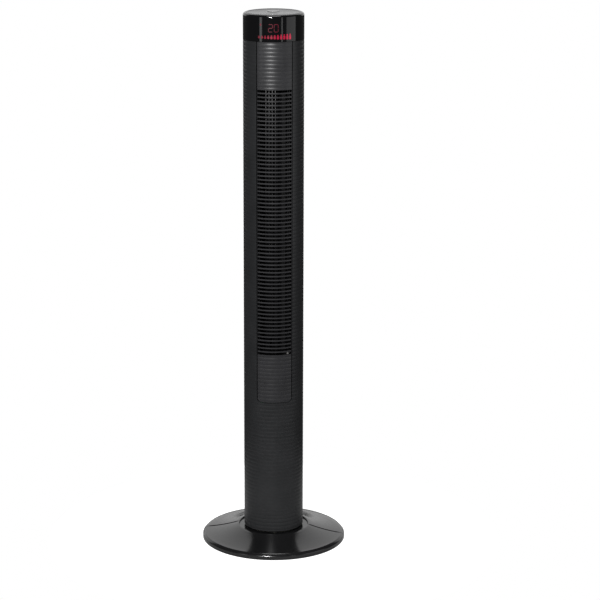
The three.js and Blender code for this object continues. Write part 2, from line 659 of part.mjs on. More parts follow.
const slotHalfWidth = panelHalfWidth - GRILLE_FRAME;
const panelScrewHeight = GRILLE_BOTTOM + GRILLE_GAP / 2;

function frontGrille() {
  const facets = Math.ceil((PANEL_HALF_ANGLE + 1) / facet);
  const reach = facets * facet;
  const wall = curvedWall(columnInside, COLUMN_RADIUS, -reach, reach, PANEL_BOTTOM, housingTop, 2 * facets);
  const slots = Array.from({ length: grilleGaps }, (_, i) => {
    const bottom = GRILLE_BOTTOM + i * RIB_PITCH;
    const depth = [-COLUMN_RADIUS - 1, -COLUMN_RADIUS / 2];
    return block([-slotHalfWidth, slotHalfWidth], depth, [bottom, bottom + GRILLE_GAP]);
  });
  const halfBar = THREE.MathUtils.radToDeg(BAR_WIDTH / columnInside) / 2;
  const barRadii = [columnInside - BAR_DEPTH, columnInside + 3 * LUG_DEPTH];
  const barEnds = [GRILLE_BOTTOM - BAR_DEPTH, grilleTop + BAR_DEPTH];
  const bars = Array.from({ length: GRILLE_BARS }, (_, i) => {
    const azimuth = (2 * PANEL_HALF_ANGLE * (i + 1)) / (GRILLE_BARS + 1) - PANEL_HALF_ANGLE;
    return curvedWall(...barRadii, azimuth - halfBar, azimuth + halfBar, ...barEnds, 1);
  });
  const lug = panelScrewRod(BOSS_RADIUS, columnInside - BAR_DEPTH, columnInside + LUG_DEPTH);
  const lugHole = panelScrewRod(SCREW_RADIUS + SCREW_PLAY, 0, COLUMN_RADIUS);
  const outline = panelTool(PANEL_GROOVE, PANEL_BOTTOM + PANEL_GROOVE, housingTop);
  return cut(join([cut(wall, slots).intersect(outline), ...bars, lug]), [lugHole]);
}

// A rod on the panel screw's axis, which points straight out from the column's axis.
function panelScrewRod(radius, inner, outer) {
  return rod(radius, -outer, -inner)
    .rotate([-90, 0, 0])
    .rotate([0, 0, PANEL_SCREW_AZIMUTH])
    .translate([0, 0, panelScrewHeight]);
}

addPiece("lower_tube", lowerTube(), FINISH.column);
addPiece("joining_sleeve", joiningSleeve(), FINISH.inner);
addPiece("front_housing", frontHousing(), FINISH.column);
addPiece("rear_housing", rearHousing(), FINISH.column);
addPiece("front_grille", frontGrille(), FINISH.column);
eachRearScrew((side, height) => [side, height]).forEach(([side, height], i) => {
  addPiece(`rear_screw_${i + 1}`, rearScrew(side, height), FINISH.steel);
});

const lugFace = columnInside + LUG_DEPTH + FIT;
const bossFace = columnInside - BAR_DEPTH - FIT;
const panelScrewTip = bossFace - SCREW_LENGTH + 3;
const panelShank = panelScrewRod(SCREW_RADIUS, panelScrewTip, lugFace + 0.5);
const panelHead = panelScrewRod(GRILLE_GAP / 2 - FIT, lugFace, lugFace + 1.6);
addPiece("panel_screw", panelShank.add(panelHead), FINISH.steel);

// ---------------------------------------------------------------- air path
const partitionRadius = clearRadius - FIT - WALL;

function partition(bottom, bore) {
  const disc = rod(partitionRadius, bottom, bottom + PARTITION, 0, 0, COLUMN_SEGMENTS);
  return disc.subtract(rod(bore, bottom - 1, bottom + PARTITION + 1, 0, rotorY, SHAFT_SEGMENTS));
}

const motorFlange = MOTOR_RADIUS + MOTOR_EAR;
const motorScrewX = MOTOR_RADIUS + MOTOR_SCREW_OUT;

function lowerPartitionPlate() {
  const holes = [-1, 1].map((side) =>
    rod(SCREW_RADIUS + SCREW_PLAY, lowerPartition - 1, lowerPartition + 5, side * motorScrewX, rotorY),
  );
  const top = panelScrewHeight + BOSS_RADIUS;
  const [from, to] = [PANEL_SCREW_AZIMUTH - 5, PANEL_SCREW_AZIMUTH + 5];
  const post = curvedWall(bossFace - SCREW_LENGTH, bossFace, from, to, lowerPartition + 1, top, 1);
  const hole = panelScrewRod(SCREW_RADIUS + SCREW_PLAY, panelScrewTip - 1, COLUMN_RADIUS);
  return cut(partition(lowerPartition, SHAFT_RADIUS + 4).add(post), [...holes, hole]);
}

function fanMotor() {
  const bottom = motorTop - MOTOR_HEIGHT;
  const can = rod(MOTOR_RADIUS, bottom, motorTop, 0, rotorY, COLUMN_SEGMENTS / 2);
  const earYs = [rotorY - MOTOR_EAR, rotorY + MOTOR_EAR];
  const flange = block([-motorFlange, motorFlange], earYs, [motorTop - MOTOR_EAR_THICKNESS, motorTop]);
  const bore = rod(SHAFT_RADIUS + RUNNING_GAP, bottom - 1, motorTop + 1, 0, rotorY, SHAFT_SEGMENTS);
  const holes = [-1, 1].map((side) =>
    rod(SCREW_RADIUS + SCREW_PLAY, bottom, motorTop + 1, side * motorScrewX, rotorY),
  );
  return cut(can.add(flange), [bore, ...holes]);
}

const hubBore = (bottom, top) => rod(SHAFT_RADIUS + RUNNING_GAP, bottom, top, 0, 0, SHAFT_SEGMENTS);

function impeller() {
  const inner = rotorRadius - BLADE_DEPTH;
  const section = [
    [inner, 0],
    [inner + 0.5 * BLADE_DEPTH, BLADE_SWEEP / 4],
    [rotorRadius - 0.2, BLADE_SWEEP],
  ].map(([radius, angle]) => new THREE.Vector2(radius * azimuthX(angle), radius * azimuthY(angle)));
  const blade = curvedPlate(section, BLADE_THICKNESS, rotorBottom + 1, rotorTop - 1);
  const blades = Array.from({ length: BLADE_COUNT }, (_, i) => blade.rotate([0, 0, (i * 360) / BLADE_COUNT]));
  const edge = rotorRadius + DISC_OVERHANG;
  const spacing = (rotorTop - rotorBottom - DISC_THICKNESS) / (ROTOR_DISCS - 1);
  const discs = Array.from({ length: ROTOR_DISCS }, (_, i) => {
    const bottom = rotorBottom + i * spacing;
    const end = i === 0 || i === ROTOR_DISCS - 1;
    const disc = rod(edge, bottom, bottom + DISC_THICKNESS, 0, 0, DISC_SEGMENTS);
    return end ? disc : disc.subtract(rod(inner - 3, bottom - 1, bottom + 5, 0, 0, DISC_SEGMENTS));
  });
  const hubs = [
    rod(HUB_RADIUS, rotorBottom, rotorBottom + HUB_LENGTH, 0, 0, 16),
    rod(HUB_RADIUS, rotorTop - HUB_LENGTH, rotorTop, 0, 0, 16),
  ];
  const bores = [
    hubBore(rotorBottom - 1, rotorBottom + HUB_LENGTH - 2),
    hubBore(rotorTop - HUB_LENGTH + 2, rotorTop + 1),
  ];
  return cut(join([...blades, ...discs, ...hubs]), bores).translate([0, rotorY, 0]);
}

function ductPlate(points, thickness) {
  const plan = points.map(([x, y]) => new THREE.Vector2(x, y));
  return curvedPlate(plan, thickness, lowerPartition + PARTITION + FIT, upperPartition - FIT);
}

// A point round the impeller: degrees from straight ahead, positive towards +X, and the gap to the impeller.
function aroundRotor(angle, gap) {
  const radius = rotorRadius + DISC_OVERHANG + gap;
  return [radius * azimuthX(angle), rotorY + radius * azimuthY(angle)];
}

function outletEdge(side) {
  const radius = partitionRadius - DUCT_WALL;
  const azimuth = side * (PANEL_HALF_ANGLE - PANEL_LIP);
  return [radius * azimuthX(azimuth), radius * azimuthY(azimuth)];
}

function airScroll() {
  const turns = [60, 78, 96, 114, 132, 150];
  const wrap = turns.map((angle, i) => aroundRotor(-angle, DUCT_GAP + (SCROLL_OPENING * (5 - i)) / 5));
  return ductPlate([outletEdge(-1), ...wrap], -DUCT_WALL);
}

function airTongue() {
  const wrap = [46, 58, 70].map((angle, i) => aroundRotor(angle, TONGUE_GAP + i * 0.8));
  return ductPlate([outletEdge(1), ...wrap], DUCT_WALL);
}

function topBush() {
  const bore = SHAFT_RADIUS + RUNNING_GAP;
  const bottom = upperPartition - 1;
  const top = bottom + BUSH_HEIGHT;
  const shoulder = upperPartition + PARTITION + FIT;
  const profile = [
    [bore, bottom],
    [BUSH_RADIUS, bottom],
    [BUSH_RADIUS, shoulder],
    [BUSH_RADIUS + BUSH_LIP, shoulder],
    [BUSH_RADIUS + BUSH_LIP, top],
    [bore, top],
  ];
  return turned(profile, SHAFT_SEGMENTS).translate([0, rotorY, 0]);
}

addPiece("lower_partition", lowerPartitionPlate(), FINISH.inner);
addPiece("upper_partition", partition(upperPartition, BUSH_RADIUS + FIT), FINISH.inner);
addPiece("air_scroll", airScroll(), FINISH.inner);
addPiece("air_tongue", airTongue(), FINISH.inner);
addPiece("fan_motor", fanMotor(), FINISH.steel);
[-1, 1].forEach((side, i) => {
  const grip = PARTITION + MOTOR_EAR_THICKNESS + 1 + 2 * FIT;
  const solid = screw(lowerPartition + PARTITION + 1, side * motorScrewX, rotorY, grip);
  addPiece(`motor_screw_${i + 1}`, solid, FINISH.steel);
});
addPiece("top_bush", topBush(), FINISH.rubber);
addPiece("impeller", impeller(), FINISH.inner);
const shaftEnd = rotorBottom + HUB_LENGTH - 3;
const shaft = rod(SHAFT_RADIUS, motorTop - MOTOR_HEIGHT + 6, shaftEnd, 0, rotorY, SHAFT_SEGMENTS);
addPiece("motor_shaft", shaft, FINISH.steel);
const pinTop = upperPartition - 1 + BUSH_HEIGHT;
const pin = rod(SHAFT_RADIUS, rotorTop - HUB_LENGTH + 3, pinTop, 0, rotorY, SHAFT_SEGMENTS);
addPiece("impeller_pin", pin, FINISH.steel);

// ---------------------------------------------------------------- electronics
function powerBoard() {
  const top = motorTop - MOTOR_HEIGHT - POWER_BOARD_GAP;
  const bottom = Math.max(top - POWER_BOARD_HEIGHT, TUBE_TOP + SLEEVE_LENGTH);
  const halfWidth = POWER_BOARD_WIDTH / 2;
  const board = block([-halfWidth, halfWidth], [rotorY, rotorY + BOARD_THICKNESS], [bottom, top]);
  const [width, depth, height] = TRANSFORMER;
  const foot = bottom + 8;
  const transformer = block([-width - 2, -2], [rotorY - depth, rotorY + 1], [foot, foot + height]);
  const capacitorY = rotorY - CAPACITOR_RADIUS + 1;
  const capacitor = rod(CAPACITOR_RADIUS, foot + 2, foot + 2 + height, width - 8, capacitorY);
  return join([board, transformer, capacitor]);
}

const keyFlangeTop = coverBottom - FIT;
const keyBottom = keyFlangeTop - KEY_FLANGE;
const keyTop = FAN_HEIGHT - COVER_DISH + KEY_PROUD;
const switchTop = keyBottom - KEY_TRAVEL - SWITCH_CLEARANCE;
const boardTop = switchTop - SWITCH_HEIGHT;

addPiece("power_board", powerBoard(), FINISH.circuit);
const controlBoard = rod(CONTROL_RADIUS, boardTop - BOARD_THICKNESS, boardTop, 0, 0, COLUMN_SEGMENTS / 2);
addPiece("control_board", controlBoard, FINISH.circuit);
const switchBody = block(
  [-SWITCH_HALF_WIDTH, SWITCH_HALF_WIDTH],
  [KEY_BACK - SWITCH_HALF_WIDTH, KEY_BACK + SWITCH_HALF_WIDTH],
  [boardTop + FIT, switchTop - PLUNGER_HEIGHT],
);
const plunger = rod(PLUNGER_RADIUS, switchTop - PLUNGER_HEIGHT - 1, switchTop, 0, KEY_BACK);
addPiece("key_switch", switchBody.add(plunger), FINISH.inner);

const lensRadius = clearRadius;
const digitFront = -Math.sqrt(lensRadius ** 2 - (DIGIT_WIDTH / 2 - DIGIT_OFFSET) ** 2) + FIT;
const digitXs = [DIGIT_OFFSET - DIGIT_WIDTH / 2, DIGIT_OFFSET + DIGIT_WIDTH / 2];
const digitTop = digitBottom + DIGIT_HEIGHT;
const digits = block(digitXs, [digitFront, digitFront + DIGIT_DEPTH], [digitBottom, digitTop]);
addPiece("digit_display", digits, FINISH.lamp);
const iconTop = iconBottom + ICON_HEIGHT;
const iconAngles = [-ICON_HALF_ANGLE, ICON_HALF_ANGLE];
const icons = curvedWall(lensRadius - ICON_DEPTH, lensRadius, ...iconAngles, iconBottom, iconTop, 8);
addPiece("icon_strip", icons, FINISH.lamp);
const displayBack = lensRadius * azimuthY(ICON_HALF_ANGLE) + ICON_DEPTH + FIT;
const displayYs = [displayBack, displayBack + BOARD_THICKNESS];
const displayBoard = block([-lensRadius / 2, lensRadius / 2], displayYs, [capBottom + FIT, digitTop]);
addPiece("display_board", displayBoard, FINISH.circuit);

// ---------------------------------------------------------------- top
function displayCap() {
  const lip = coverRadius + FIT;
  const ledge = coverBottom - FIT;
  const profile = [
    [columnInside, capBottom],
    [COLUMN_RADIUS, capBottom],
    [COLUMN_RADIUS, FAN_HEIGHT - SHOULDER],
    [COLUMN_RADIUS - 0.3 * SHOULDER, FAN_HEIGHT - 0.38 * SHOULDER],
    [COLUMN_RADIUS - 0.75 * SHOULDER, FAN_HEIGHT - 0.1 * SHOULDER],
    [lip, FAN_HEIGHT - 0.1 * SHOULDER],
    [lip, ledge],
    [lip - LEDGE_WIDTH, ledge],
    [lip - LEDGE_WIDTH, ledge - LEDGE_HEIGHT],
    [columnInside, ledge - LEDGE_HEIGHT],
  ];
  return turned(profile, COLUMN_SEGMENTS);
}

function topCover() {
  const profile = [
    [0, coverBottom],
    [coverRadius, coverBottom],
    [coverRadius, FAN_HEIGHT - 0.5],
    [coverRadius - 0.5, FAN_HEIGHT],
    [coverRadius - COVER_EDGE, FAN_HEIGHT],
    [coverRadius - COVER_EDGE - COVER_DISH, FAN_HEIGHT - COVER_DISH],
    [0, FAN_HEIGHT - COVER_DISH],
  ];
  const keyHole = rod(KEY_RADIUS + KEY_GAP, 0, FAN_HEIGHT + 1, 0, KEY_BACK, COLUMN_SEGMENTS / 2);
  return turned(profile, COLUMN_SEGMENTS).subtract(keyHole);
}

function powerKey() {
  const profile = [
    [0, keyBottom],
    [KEY_RADIUS + 2, keyBottom],
    [KEY_RADIUS + 2, keyFlangeTop],
    [KEY_RADIUS, keyFlangeTop],
    [KEY_RADIUS, keyTop - 0.5],
    [KEY_RADIUS - 0.5, keyTop],
    [0, keyTop - 0.4],
  ];
  return turned(profile, COLUMN_SEGMENTS / 2).translate([0, KEY_BACK, 0]);
}

addPiece("display_cap", displayCap(), FINISH.gloss);
addPiece("top_cover", topCover(), FINISH.cover);
addPiece("power_key", powerKey(), FINISH.gloss);

export default fan;
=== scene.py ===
"""The looks of a tower fan: a ribbed column with a slatted outlet and a lit cap, on a round base.

Every size is in metres. The front of the fan faces -Y, and azimuths are degrees from the front,
positive towards +X.
"""

from __future__ import annotations

import json
import logging
import math
from collections.abc import Callable, Iterable, Iterator
from contextlib import contextmanager
from dataclasses import dataclass, field
from enum import Enum

import bmesh
import bpy
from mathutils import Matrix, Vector

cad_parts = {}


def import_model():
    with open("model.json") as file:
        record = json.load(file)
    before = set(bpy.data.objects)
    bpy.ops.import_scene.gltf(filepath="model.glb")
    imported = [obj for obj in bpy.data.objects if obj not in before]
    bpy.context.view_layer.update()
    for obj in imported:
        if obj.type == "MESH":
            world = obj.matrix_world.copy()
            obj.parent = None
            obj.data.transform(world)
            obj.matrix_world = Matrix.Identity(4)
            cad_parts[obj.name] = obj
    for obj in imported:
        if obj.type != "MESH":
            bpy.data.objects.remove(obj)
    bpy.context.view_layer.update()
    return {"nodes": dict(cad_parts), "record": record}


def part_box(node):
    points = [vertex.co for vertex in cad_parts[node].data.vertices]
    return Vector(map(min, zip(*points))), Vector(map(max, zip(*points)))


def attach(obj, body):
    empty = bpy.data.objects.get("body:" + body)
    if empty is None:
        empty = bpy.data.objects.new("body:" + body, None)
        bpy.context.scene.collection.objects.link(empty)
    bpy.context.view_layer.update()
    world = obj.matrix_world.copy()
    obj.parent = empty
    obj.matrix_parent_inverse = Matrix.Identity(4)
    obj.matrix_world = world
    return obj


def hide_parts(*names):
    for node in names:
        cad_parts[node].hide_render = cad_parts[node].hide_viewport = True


LOG = logging.getLogger("tower_fan")
MM = 0.001
MERGE_DISTANCE = 0.01 * MM
NOISE_MIDDLE = (0.3, 0.7)  # where most of a noise's values lie

Point = tuple[float, float, float]
Profile = list[tuple[float, float]]
Piece = bpy.types.Object
Material = bpy.types.Material
Socket = bpy.types.NodeSocket


# ------------------------------------------------------------------ modelling by operators


def azimuth_point(radius: float, azimuth: float, height: float = 0.0) -> Point:
    """The point at a radius, azimuth and height round the column's axis."""
    turn = math.radians(azimuth)
    return radius * math.sin(turn), -radius * math.cos(turn), height


def deselect_all() -> None:
    """Deselects every object, so that an operator acts on nothing by accident."""
    if bpy.context.object is not None and bpy.context.object.mode != "OBJECT":
        bpy.ops.object.mode_set(mode="OBJECT")
    bpy.ops.object.select_all(action="DESELECT")


def pick(*pieces: Piece) -> None:
    """Selects these objects only, and makes the first one active."""
    deselect_all()
    for piece in pieces:
        piece.select_set(True)
    bpy.context.view_layer.objects.active = pieces[0]


def added(name: str) -> Piece:
    """Names the active object, which an operator has just made."""
    piece = bpy.context.object
    piece.name = piece.data.name = name
    return piece


@contextmanager
def editing(piece: Piece) -> Iterator[None]:
    """Edit mode on one piece, with all of its mesh selected at the start."""
    pick(piece)
    bpy.ops.object.mode_set(mode="EDIT")
    bpy.ops.mesh.select_mode(type="VERT")
    bpy.ops.mesh.select_all(action="SELECT")
    yield
    bpy.ops.object.mode_set(mode="OBJECT")


def select_faces(piece: Piece, wanted: Callable[[bmesh.types.BMFace], bool]) -> None:
    """Selects only those faces of the piece in edit mode that pass a test."""
    bpy.ops.mesh.select_all(action="DESELECT")
    bpy.ops.mesh.select_mode(type="FACE")
    mesh = bmesh.from_edit_mesh(piece.data)
    for face in filter(wanted, mesh.faces):
        face.select_set(True)
    mesh.select_flush_mode()
    bmesh.update_edit_mesh(piece.data)


def round_corners(piece: Piece, radius: float, segments: int, below: float = math.inf) -> None:
    """Rounds the edges of a block that run from front to back.

    Args:
        piece: The block.
        radius: Radius of the rounding.
        segments: Steps of the rounding.
        below: Height under which an edge is rounded.
    """
    with editing(piece):
        bpy.ops.mesh.select_all(action="DESELECT")
        bpy.ops.mesh.select_mode(type="EDGE")
        mesh = bmesh.from_edit_mesh(piece.data)
        for edge in mesh.edges:
            first, second = (vertex.co for vertex in edge.verts)
            edge.select_set(abs(first.y - second.y) > 0.1 * MM and first.z < below)
        bmesh.update_edit_mesh(piece.data)
        bpy.ops.mesh.bevel(offset=radius, segments=segments, affect="EDGES")


def apply_modifier(piece: Piece, kind: str, **settings: object) -> None:
    """Adds a modifier of a kind with these settings and applies it."""
    pick(piece)
    modifier = piece.modifiers.new(kind.lower(), kind)
    for name, value in settings.items():
        setattr(modifier, name, value)
    bpy.ops.object.modifier_apply(modifier=modifier.name)


def smooth(piece: Piece, angle: float = 35.0) -> Piece:
    """Shades a piece smooth, with edges sharper than an angle kept crisp."""
    pick(piece)
    bpy.ops.object.shade_smooth_by_angle(angle=math.radians(angle))
    return piece


def merged(name: str, pieces: Iterable[Piece]) -> Piece:
    """Joins pieces into one and names it."""
    pieces = list(pieces)
    pick(*pieces)
    if len(pieces) > 1:
        bpy.ops.object.join()
    return added(name)


def copied(piece: Piece, name: str, turn: float) -> Piece:
    """A copy with a mesh of its own, turned about the column's axis, anticlockwise from above."""
    pick(piece)
    bpy.ops.object.duplicate(linked=False)
    twin = added(name)
    twin.rotation_euler = (0, 0, math.radians(turn))
    return settle(twin)


def settle(piece: Piece) -> Piece:
    """Puts a piece's place, turn and scale into its mesh."""
    pick(piece)
    bpy.ops.object.transform_apply(location=True, rotation=True, scale=True)
    return piece


def box_piece(name: str, low: Point, high: Point, bevel: float = 0.0) -> Piece:
    """A block between two corners, with its edges bevelled."""
    deselect_all()
    middle = [(a + b) / 2 for a, b in zip(low, high)]
    bpy.ops.mesh.primitive_cube_add(size=1, location=middle)
    piece = added(name)
    piece.scale = [b - a for a, b in zip(low, high)]
    settle(piece)
    if bevel > 0:
        with editing(piece):
            bpy.ops.mesh.bevel(offset=bevel, segments=2, affect="EDGES")
    return piece


def rod_piece(
    name: str, radius: float, low: float, high: float, place: tuple[float, float] = (0, 0),
    bevel: float = 0.0, sides: int = 32,
) -> Piece:
    """An upright round rod with bevelled ends.

    Args:
        name: The piece's name.
        radius: The rod's radius.
        low: Height of its lower end.
        high: Height of its upper end.
        place: Its axis in plan.
        bevel: Width of the bevel on both ends.
        sides: Number of sides.

    Returns:
        The rod.
    """
    deselect_all()
    bpy.ops.mesh.primitive_cylinder_add(
        vertices=sides, radius=radius, depth=high - low, location=(*place, (low + high) / 2)
    )
    piece = settle(added(name))
    if bevel > 0:
        with editing(piece):
            select_faces(piece, lambda face: abs(face.normal.z) > 0.9)
            bpy.ops.mesh.bevel(offset=bevel, segments=3, affect="EDGES")
    return piece


def drawn_profile(name: str, profile: Profile, azimuth: float, closed: bool) -> Piece:
    """A chain of edges through profile points, drawn by extruding one vertex.

    Args:
        name: The piece's name.
        profile: Radius and height of each point.
        azimuth: Where the profile stands round the axis.
        closed: Whether the last point joins the first.

    Returns:
        The chain as a mesh piece.
    """
    deselect_all()
    bpy.ops.mesh.primitive_plane_add(size=1 * MM, location=(0, 0, 0))
    piece = added(name)
    points = [Vector(azimuth_point(radius, azimuth, height)) for radius, height in profile]
    if closed:
        points.append(points[0])
    with editing(piece):
        bpy.ops.mesh.merge(type="CENTER")
        bpy.ops.transform.translate(value=points[0])
        for before, after in zip(points, points[1:]):
            bpy.ops.mesh.extrude_region_move(TRANSFORM_OT_translate={"value": after - before})
        if closed:
            bpy.ops.mesh.select_all(action="SELECT")
            bpy.ops.mesh.remove_doubles(threshold=MERGE_DISTANCE)
    return piece


def spun(
    name: str, profile: Profile, steps: int = 96, start: float = 0.0, sweep: float = 360.0,
    closed: bool = False,
) -> Piece:
    """A profile spun round the column's axis, facing out.

    Args:
        name: The piece's name.
        profile: Radius and height of each point.
        steps: Steps of the spin.
        start: Azimuth where the spin starts.
        sweep: Degrees that it covers.
        closed: Whether the profile is a closed loop.

    Returns:
        The spun piece.
    """
    piece = drawn_profile(name, profile, start, closed)
    with editing(piece):
        bpy.ops.mesh.spin(steps=steps, angle=-math.radians(sweep), center=(0, 0, 0), axis=(0, 0, 1))
        bpy.ops.mesh.select_all(action="SELECT")
        bpy.ops.mesh.remove_doubles(threshold=MERGE_DISTANCE)
        if sweep < 360 and closed:
            bpy.ops.mesh.select_all(action="DESELECT")
            bpy.ops.mesh.select_mode(type="EDGE")
            bpy.ops.mesh.select_non_manifold()
            bpy.ops.mesh.edge_face_add()
            bpy.ops.mesh.select_mode(type="VERT")
            bpy.ops.mesh.select_all(action="SELECT")
        bpy.ops.mesh.normals_make_consistent(inside=False)
    return piece


def face_outwards(piece: Piece) -> None:
    """Turns the faces of an open skin round the axis so that they face away from it."""
    with editing(piece):
        bpy.ops.mesh.normals_make_consistent(inside=False)
    outward = sum(
        face.area * (face.normal.x * face.center.x + face.normal.y * face.center.y)
        for face in piece.data.polygons
    )
    if outward < 0:
        with editing(piece):
            bpy.ops.mesh.flip_normals()


def sliced(piece: Piece, point: Point, normal: Point, fill: bool = False) -> None:
    """Cuts a piece with the plane through a point and drops what the normal points to."""
    with editing(piece):
        bpy.ops.mesh.bisect(plane_co=point, plane_no=normal, clear_outer=True, use_fill=fill)


def carved(piece: Piece, tool: Piece, operation: str = "DIFFERENCE") -> None:
    """Cuts a piece with a tool and throws the tool away."""
    apply_modifier(piece, "BOOLEAN", operation=operation, object=tool, solver="EXACT")
    bpy.data.objects.remove(tool)


def arc(centre: tuple[float, float], radius: float, start: float, end: float, steps: int) -> Profile:
    """Points of a round stretch of a profile, from one angle to another in degrees."""
    turns = [math.radians(start + (end - start) * i / steps) for i in range(steps + 1)]
    return [(centre[0] + radius * math.cos(t), centre[1] + radius * math.sin(t)) for t in turns]


# ------------------------------------------------------------------ finishes


class Graph:
    """The node tree of a material or of the world, with its shader ready."""

    def __init__(self, owner: Material | bpy.types.World, shader: str) -> None:
        """Starts the owner's nodes."""
        owner.use_nodes = True
        self.owner = owner
        self.tree = owner.node_tree
        self.shader = self.tree.nodes[shader]

    def node(self, kind: str, **values: object) -> bpy.types.Node:
        """Adds a node and sets its inputs by name, or its own properties."""
        made = self.tree.nodes.new(kind)
        for name, value in values.items():
            label = name.replace("_", " ").title()
            if label in made.inputs:
                made.inputs[label].default_value = value
            else:
                setattr(made, name, value)
        return made

    def link(self, source: Socket, target: Socket) -> None:
        """Links two sockets."""
        self.tree.links.new(source, target)

    def fix(self, name: str, value: object) -> None:
        """Sets one of the shader's inputs."""
        self.shader.inputs[name].default_value = value

    def feed(self, name: str, value: Socket) -> None:
        """Links a value to one of the shader's inputs."""
        self.link(value, self.shader.inputs[name])

    def noise(self, size: float, detail: float = 2.0, stretch: Point = (1, 1, 1)) -> Socket:
        """Noise on object coordinates.

        Args:
            size: The size of its blobs.
            detail: How many finer octaves it has.
            stretch: How much longer the blobs are along x, y and z.

        Returns:
            The noise's value socket.
        """
        place = self.node("ShaderNodeTexCoord")
        mapping = self.node("ShaderNodeMapping")
        mapping.inputs["Scale"].default_value = [1 / (size * s) for s in stretch]
        texture = self.node("ShaderNodeTexNoise", scale=1.0, detail=detail)
        self.link(place.outputs["Object"], mapping.inputs["Vector"])
        self.link(mapping.outputs["Vector"], texture.inputs["Vector"])
        return texture.outputs["Fac"]

    def ramp(self, value: Socket, start: float, end: float, low: float, high: float) -> Socket:
        """Maps the values from a start to an end onto a range."""
        made = self.node("ShaderNodeMapRange", from_min=start, from_max=end, to_min=low, to_max=high)
        self.link(value, made.inputs["Value"])
        return made.outputs["Result"]

    def spread(self, value: Socket, low: float, high: float) -> Socket:
        """Maps the middle of a noise value onto a range."""
        return self.ramp(value, *NOISE_MIDDLE, low, high)

    def seen(self, unseen: float) -> Socket:
        """A strength of one to the camera, and another to every other ray."""
        rays = self.node("ShaderNodeLightPath")
        return self.ramp(rays.outputs["Is Camera Ray"], 0.0, 1.0, unseen, 1.0)

    def bump(self, value: Socket, depth: float, strength: float = 1.0) -> None:
        """Feeds a height to the shader's normal, on top of any bump already there."""
        made = self.node("ShaderNodeBump", strength=strength, distance=depth)
        self.link(value, made.inputs["Height"])
        normal = self.shader.inputs["Normal"]
        if normal.is_linked:
            self.link(normal.links[0].from_socket, made.inputs["Normal"])
        self.link(made.outputs["Normal"], normal)

    def blend_colours(self, value: Socket, first: Point, second: Point) -> Socket:
        """A colour between two, picked by a value."""
        mix = self.node("ShaderNodeMix", data_type="RGBA")
        mix.inputs[6].default_value = (*first, 1)
        mix.inputs[7].default_value = (*second, 1)
        self.link(value, mix.inputs[0])
        return mix.outputs[2]


@dataclass(frozen=True)
class Finish:
    """What every finish shares: a name, a colour and its material."""

    name: str
    colour: Point

    def make(self) -> Material:
        """Builds the material."""
        graph = Graph(bpy.data.materials.new(self.name), "Principled BSDF")
        self.draw(graph)
        return graph.owner

    def draw(self, graph: Graph) -> None:
        """Adds the finish's own nodes."""
        raise NotImplementedError

    def tinted(self, graph: Graph, value: Socket, other: Iterable[float]) -> None:
        """Blends the base colour from the finish's own to another by a value."""
        graph.feed("Base Color", graph.blend_colours(value, self.colour, tuple(other)))


@dataclass(frozen=True)
class MouldedPlastic(Finish):
    """Injection-moulded plastic: a fine spark-eroded grain, with faint patches of sheen."""

    roughness: float
    patchiness: float = 0.04
    grain: float = 0.5 * MM
    grain_depth: float = 0.02 * MM
    specular: float = 0.5
    patch_size: float = 60 * MM
    scuff_size: float = 9 * MM

    def draw(self, graph: Graph) -> None:
        """Adds the plastic's nodes."""
        graph.fix("Specular IOR Level", self.specular)
        patches = graph.spread(graph.noise(self.patch_size, detail=4.0), 0.0, 1.0)
        self.tinted(graph, patches, (c * 1.25 + 0.001 for c in self.colour))
        low, high = self.roughness - self.patchiness, self.roughness + self.patchiness
        graph.feed("Roughness", graph.spread(graph.noise(self.scuff_size, detail=6.0), low, high))
        graph.bump(graph.noise(self.grain, detail=3.0), self.grain_depth)


@dataclass(frozen=True)
class PianoLacquer(Finish):
    """Polished black plastic with a barely uneven surface and faint wipe marks."""

    roughness: float = 0.06
    wipe_size: float = 12 * MM
    wave_size: float = 18 * MM
    wave_depth: float = 0.02 * MM

    def draw(self, graph: Graph) -> None:
        """Adds the lacquer's nodes."""
        graph.fix("Base Color", (*self.colour, 1))
        wipes = graph.noise(self.wipe_size, detail=5.0, stretch=(1, 1, 0.35))
        graph.feed("Roughness", graph.spread(wipes, self.roughness, self.roughness + 0.05))
        graph.bump(graph.noise(self.wave_size, detail=1.0), self.wave_depth, 0.6)


@dataclass(frozen=True)
class Rubber(Finish):
    """Matt rubber with a soft bloom and small pits."""

    bloom_size: float = 8 * MM
    pit_size: float = 0.8 * MM
    pit_depth: float = 0.06 * MM

    def draw(self, graph: Graph) -> None:
        """Adds the rubber's nodes."""
        bloom = graph.spread(graph.noise(self.bloom_size, detail=5.0), 0.0, 1.0)
        self.tinted(graph, bloom, (c * 2.2 for c in self.colour))
        graph.fix("Roughness", 0.85)
        graph.bump(graph.noise(self.pit_size), self.pit_depth)


@dataclass(frozen=True)
class PlatedSteel(Finish):
    """Zinc-plated steel: fine turning marks and a cloudy passivated tint."""

    roughness: float = 0.32
    warmth: Point = (1.08, 1.02, 0.9)
    cloud_size: float = 5 * MM
    mark_size: float = 0.35 * MM
    mark_depth: float = 0.015 * MM

    def draw(self, graph: Graph) -> None:
        """Adds the steel's nodes."""
        graph.fix("Metallic", 1.0)
        clouds = graph.spread(graph.noise(self.cloud_size, detail=4.0), 0.0, 1.0)
        self.tinted(graph, clouds, (c * w for c, w in zip(self.colour, self.warmth)))
        marks = graph.noise(self.mark_size, stretch=(8, 8, 1))
        graph.feed("Roughness", graph.spread(marks, self.roughness - 0.08, self.roughness + 0.12))
        graph.bump(marks, self.mark_depth)


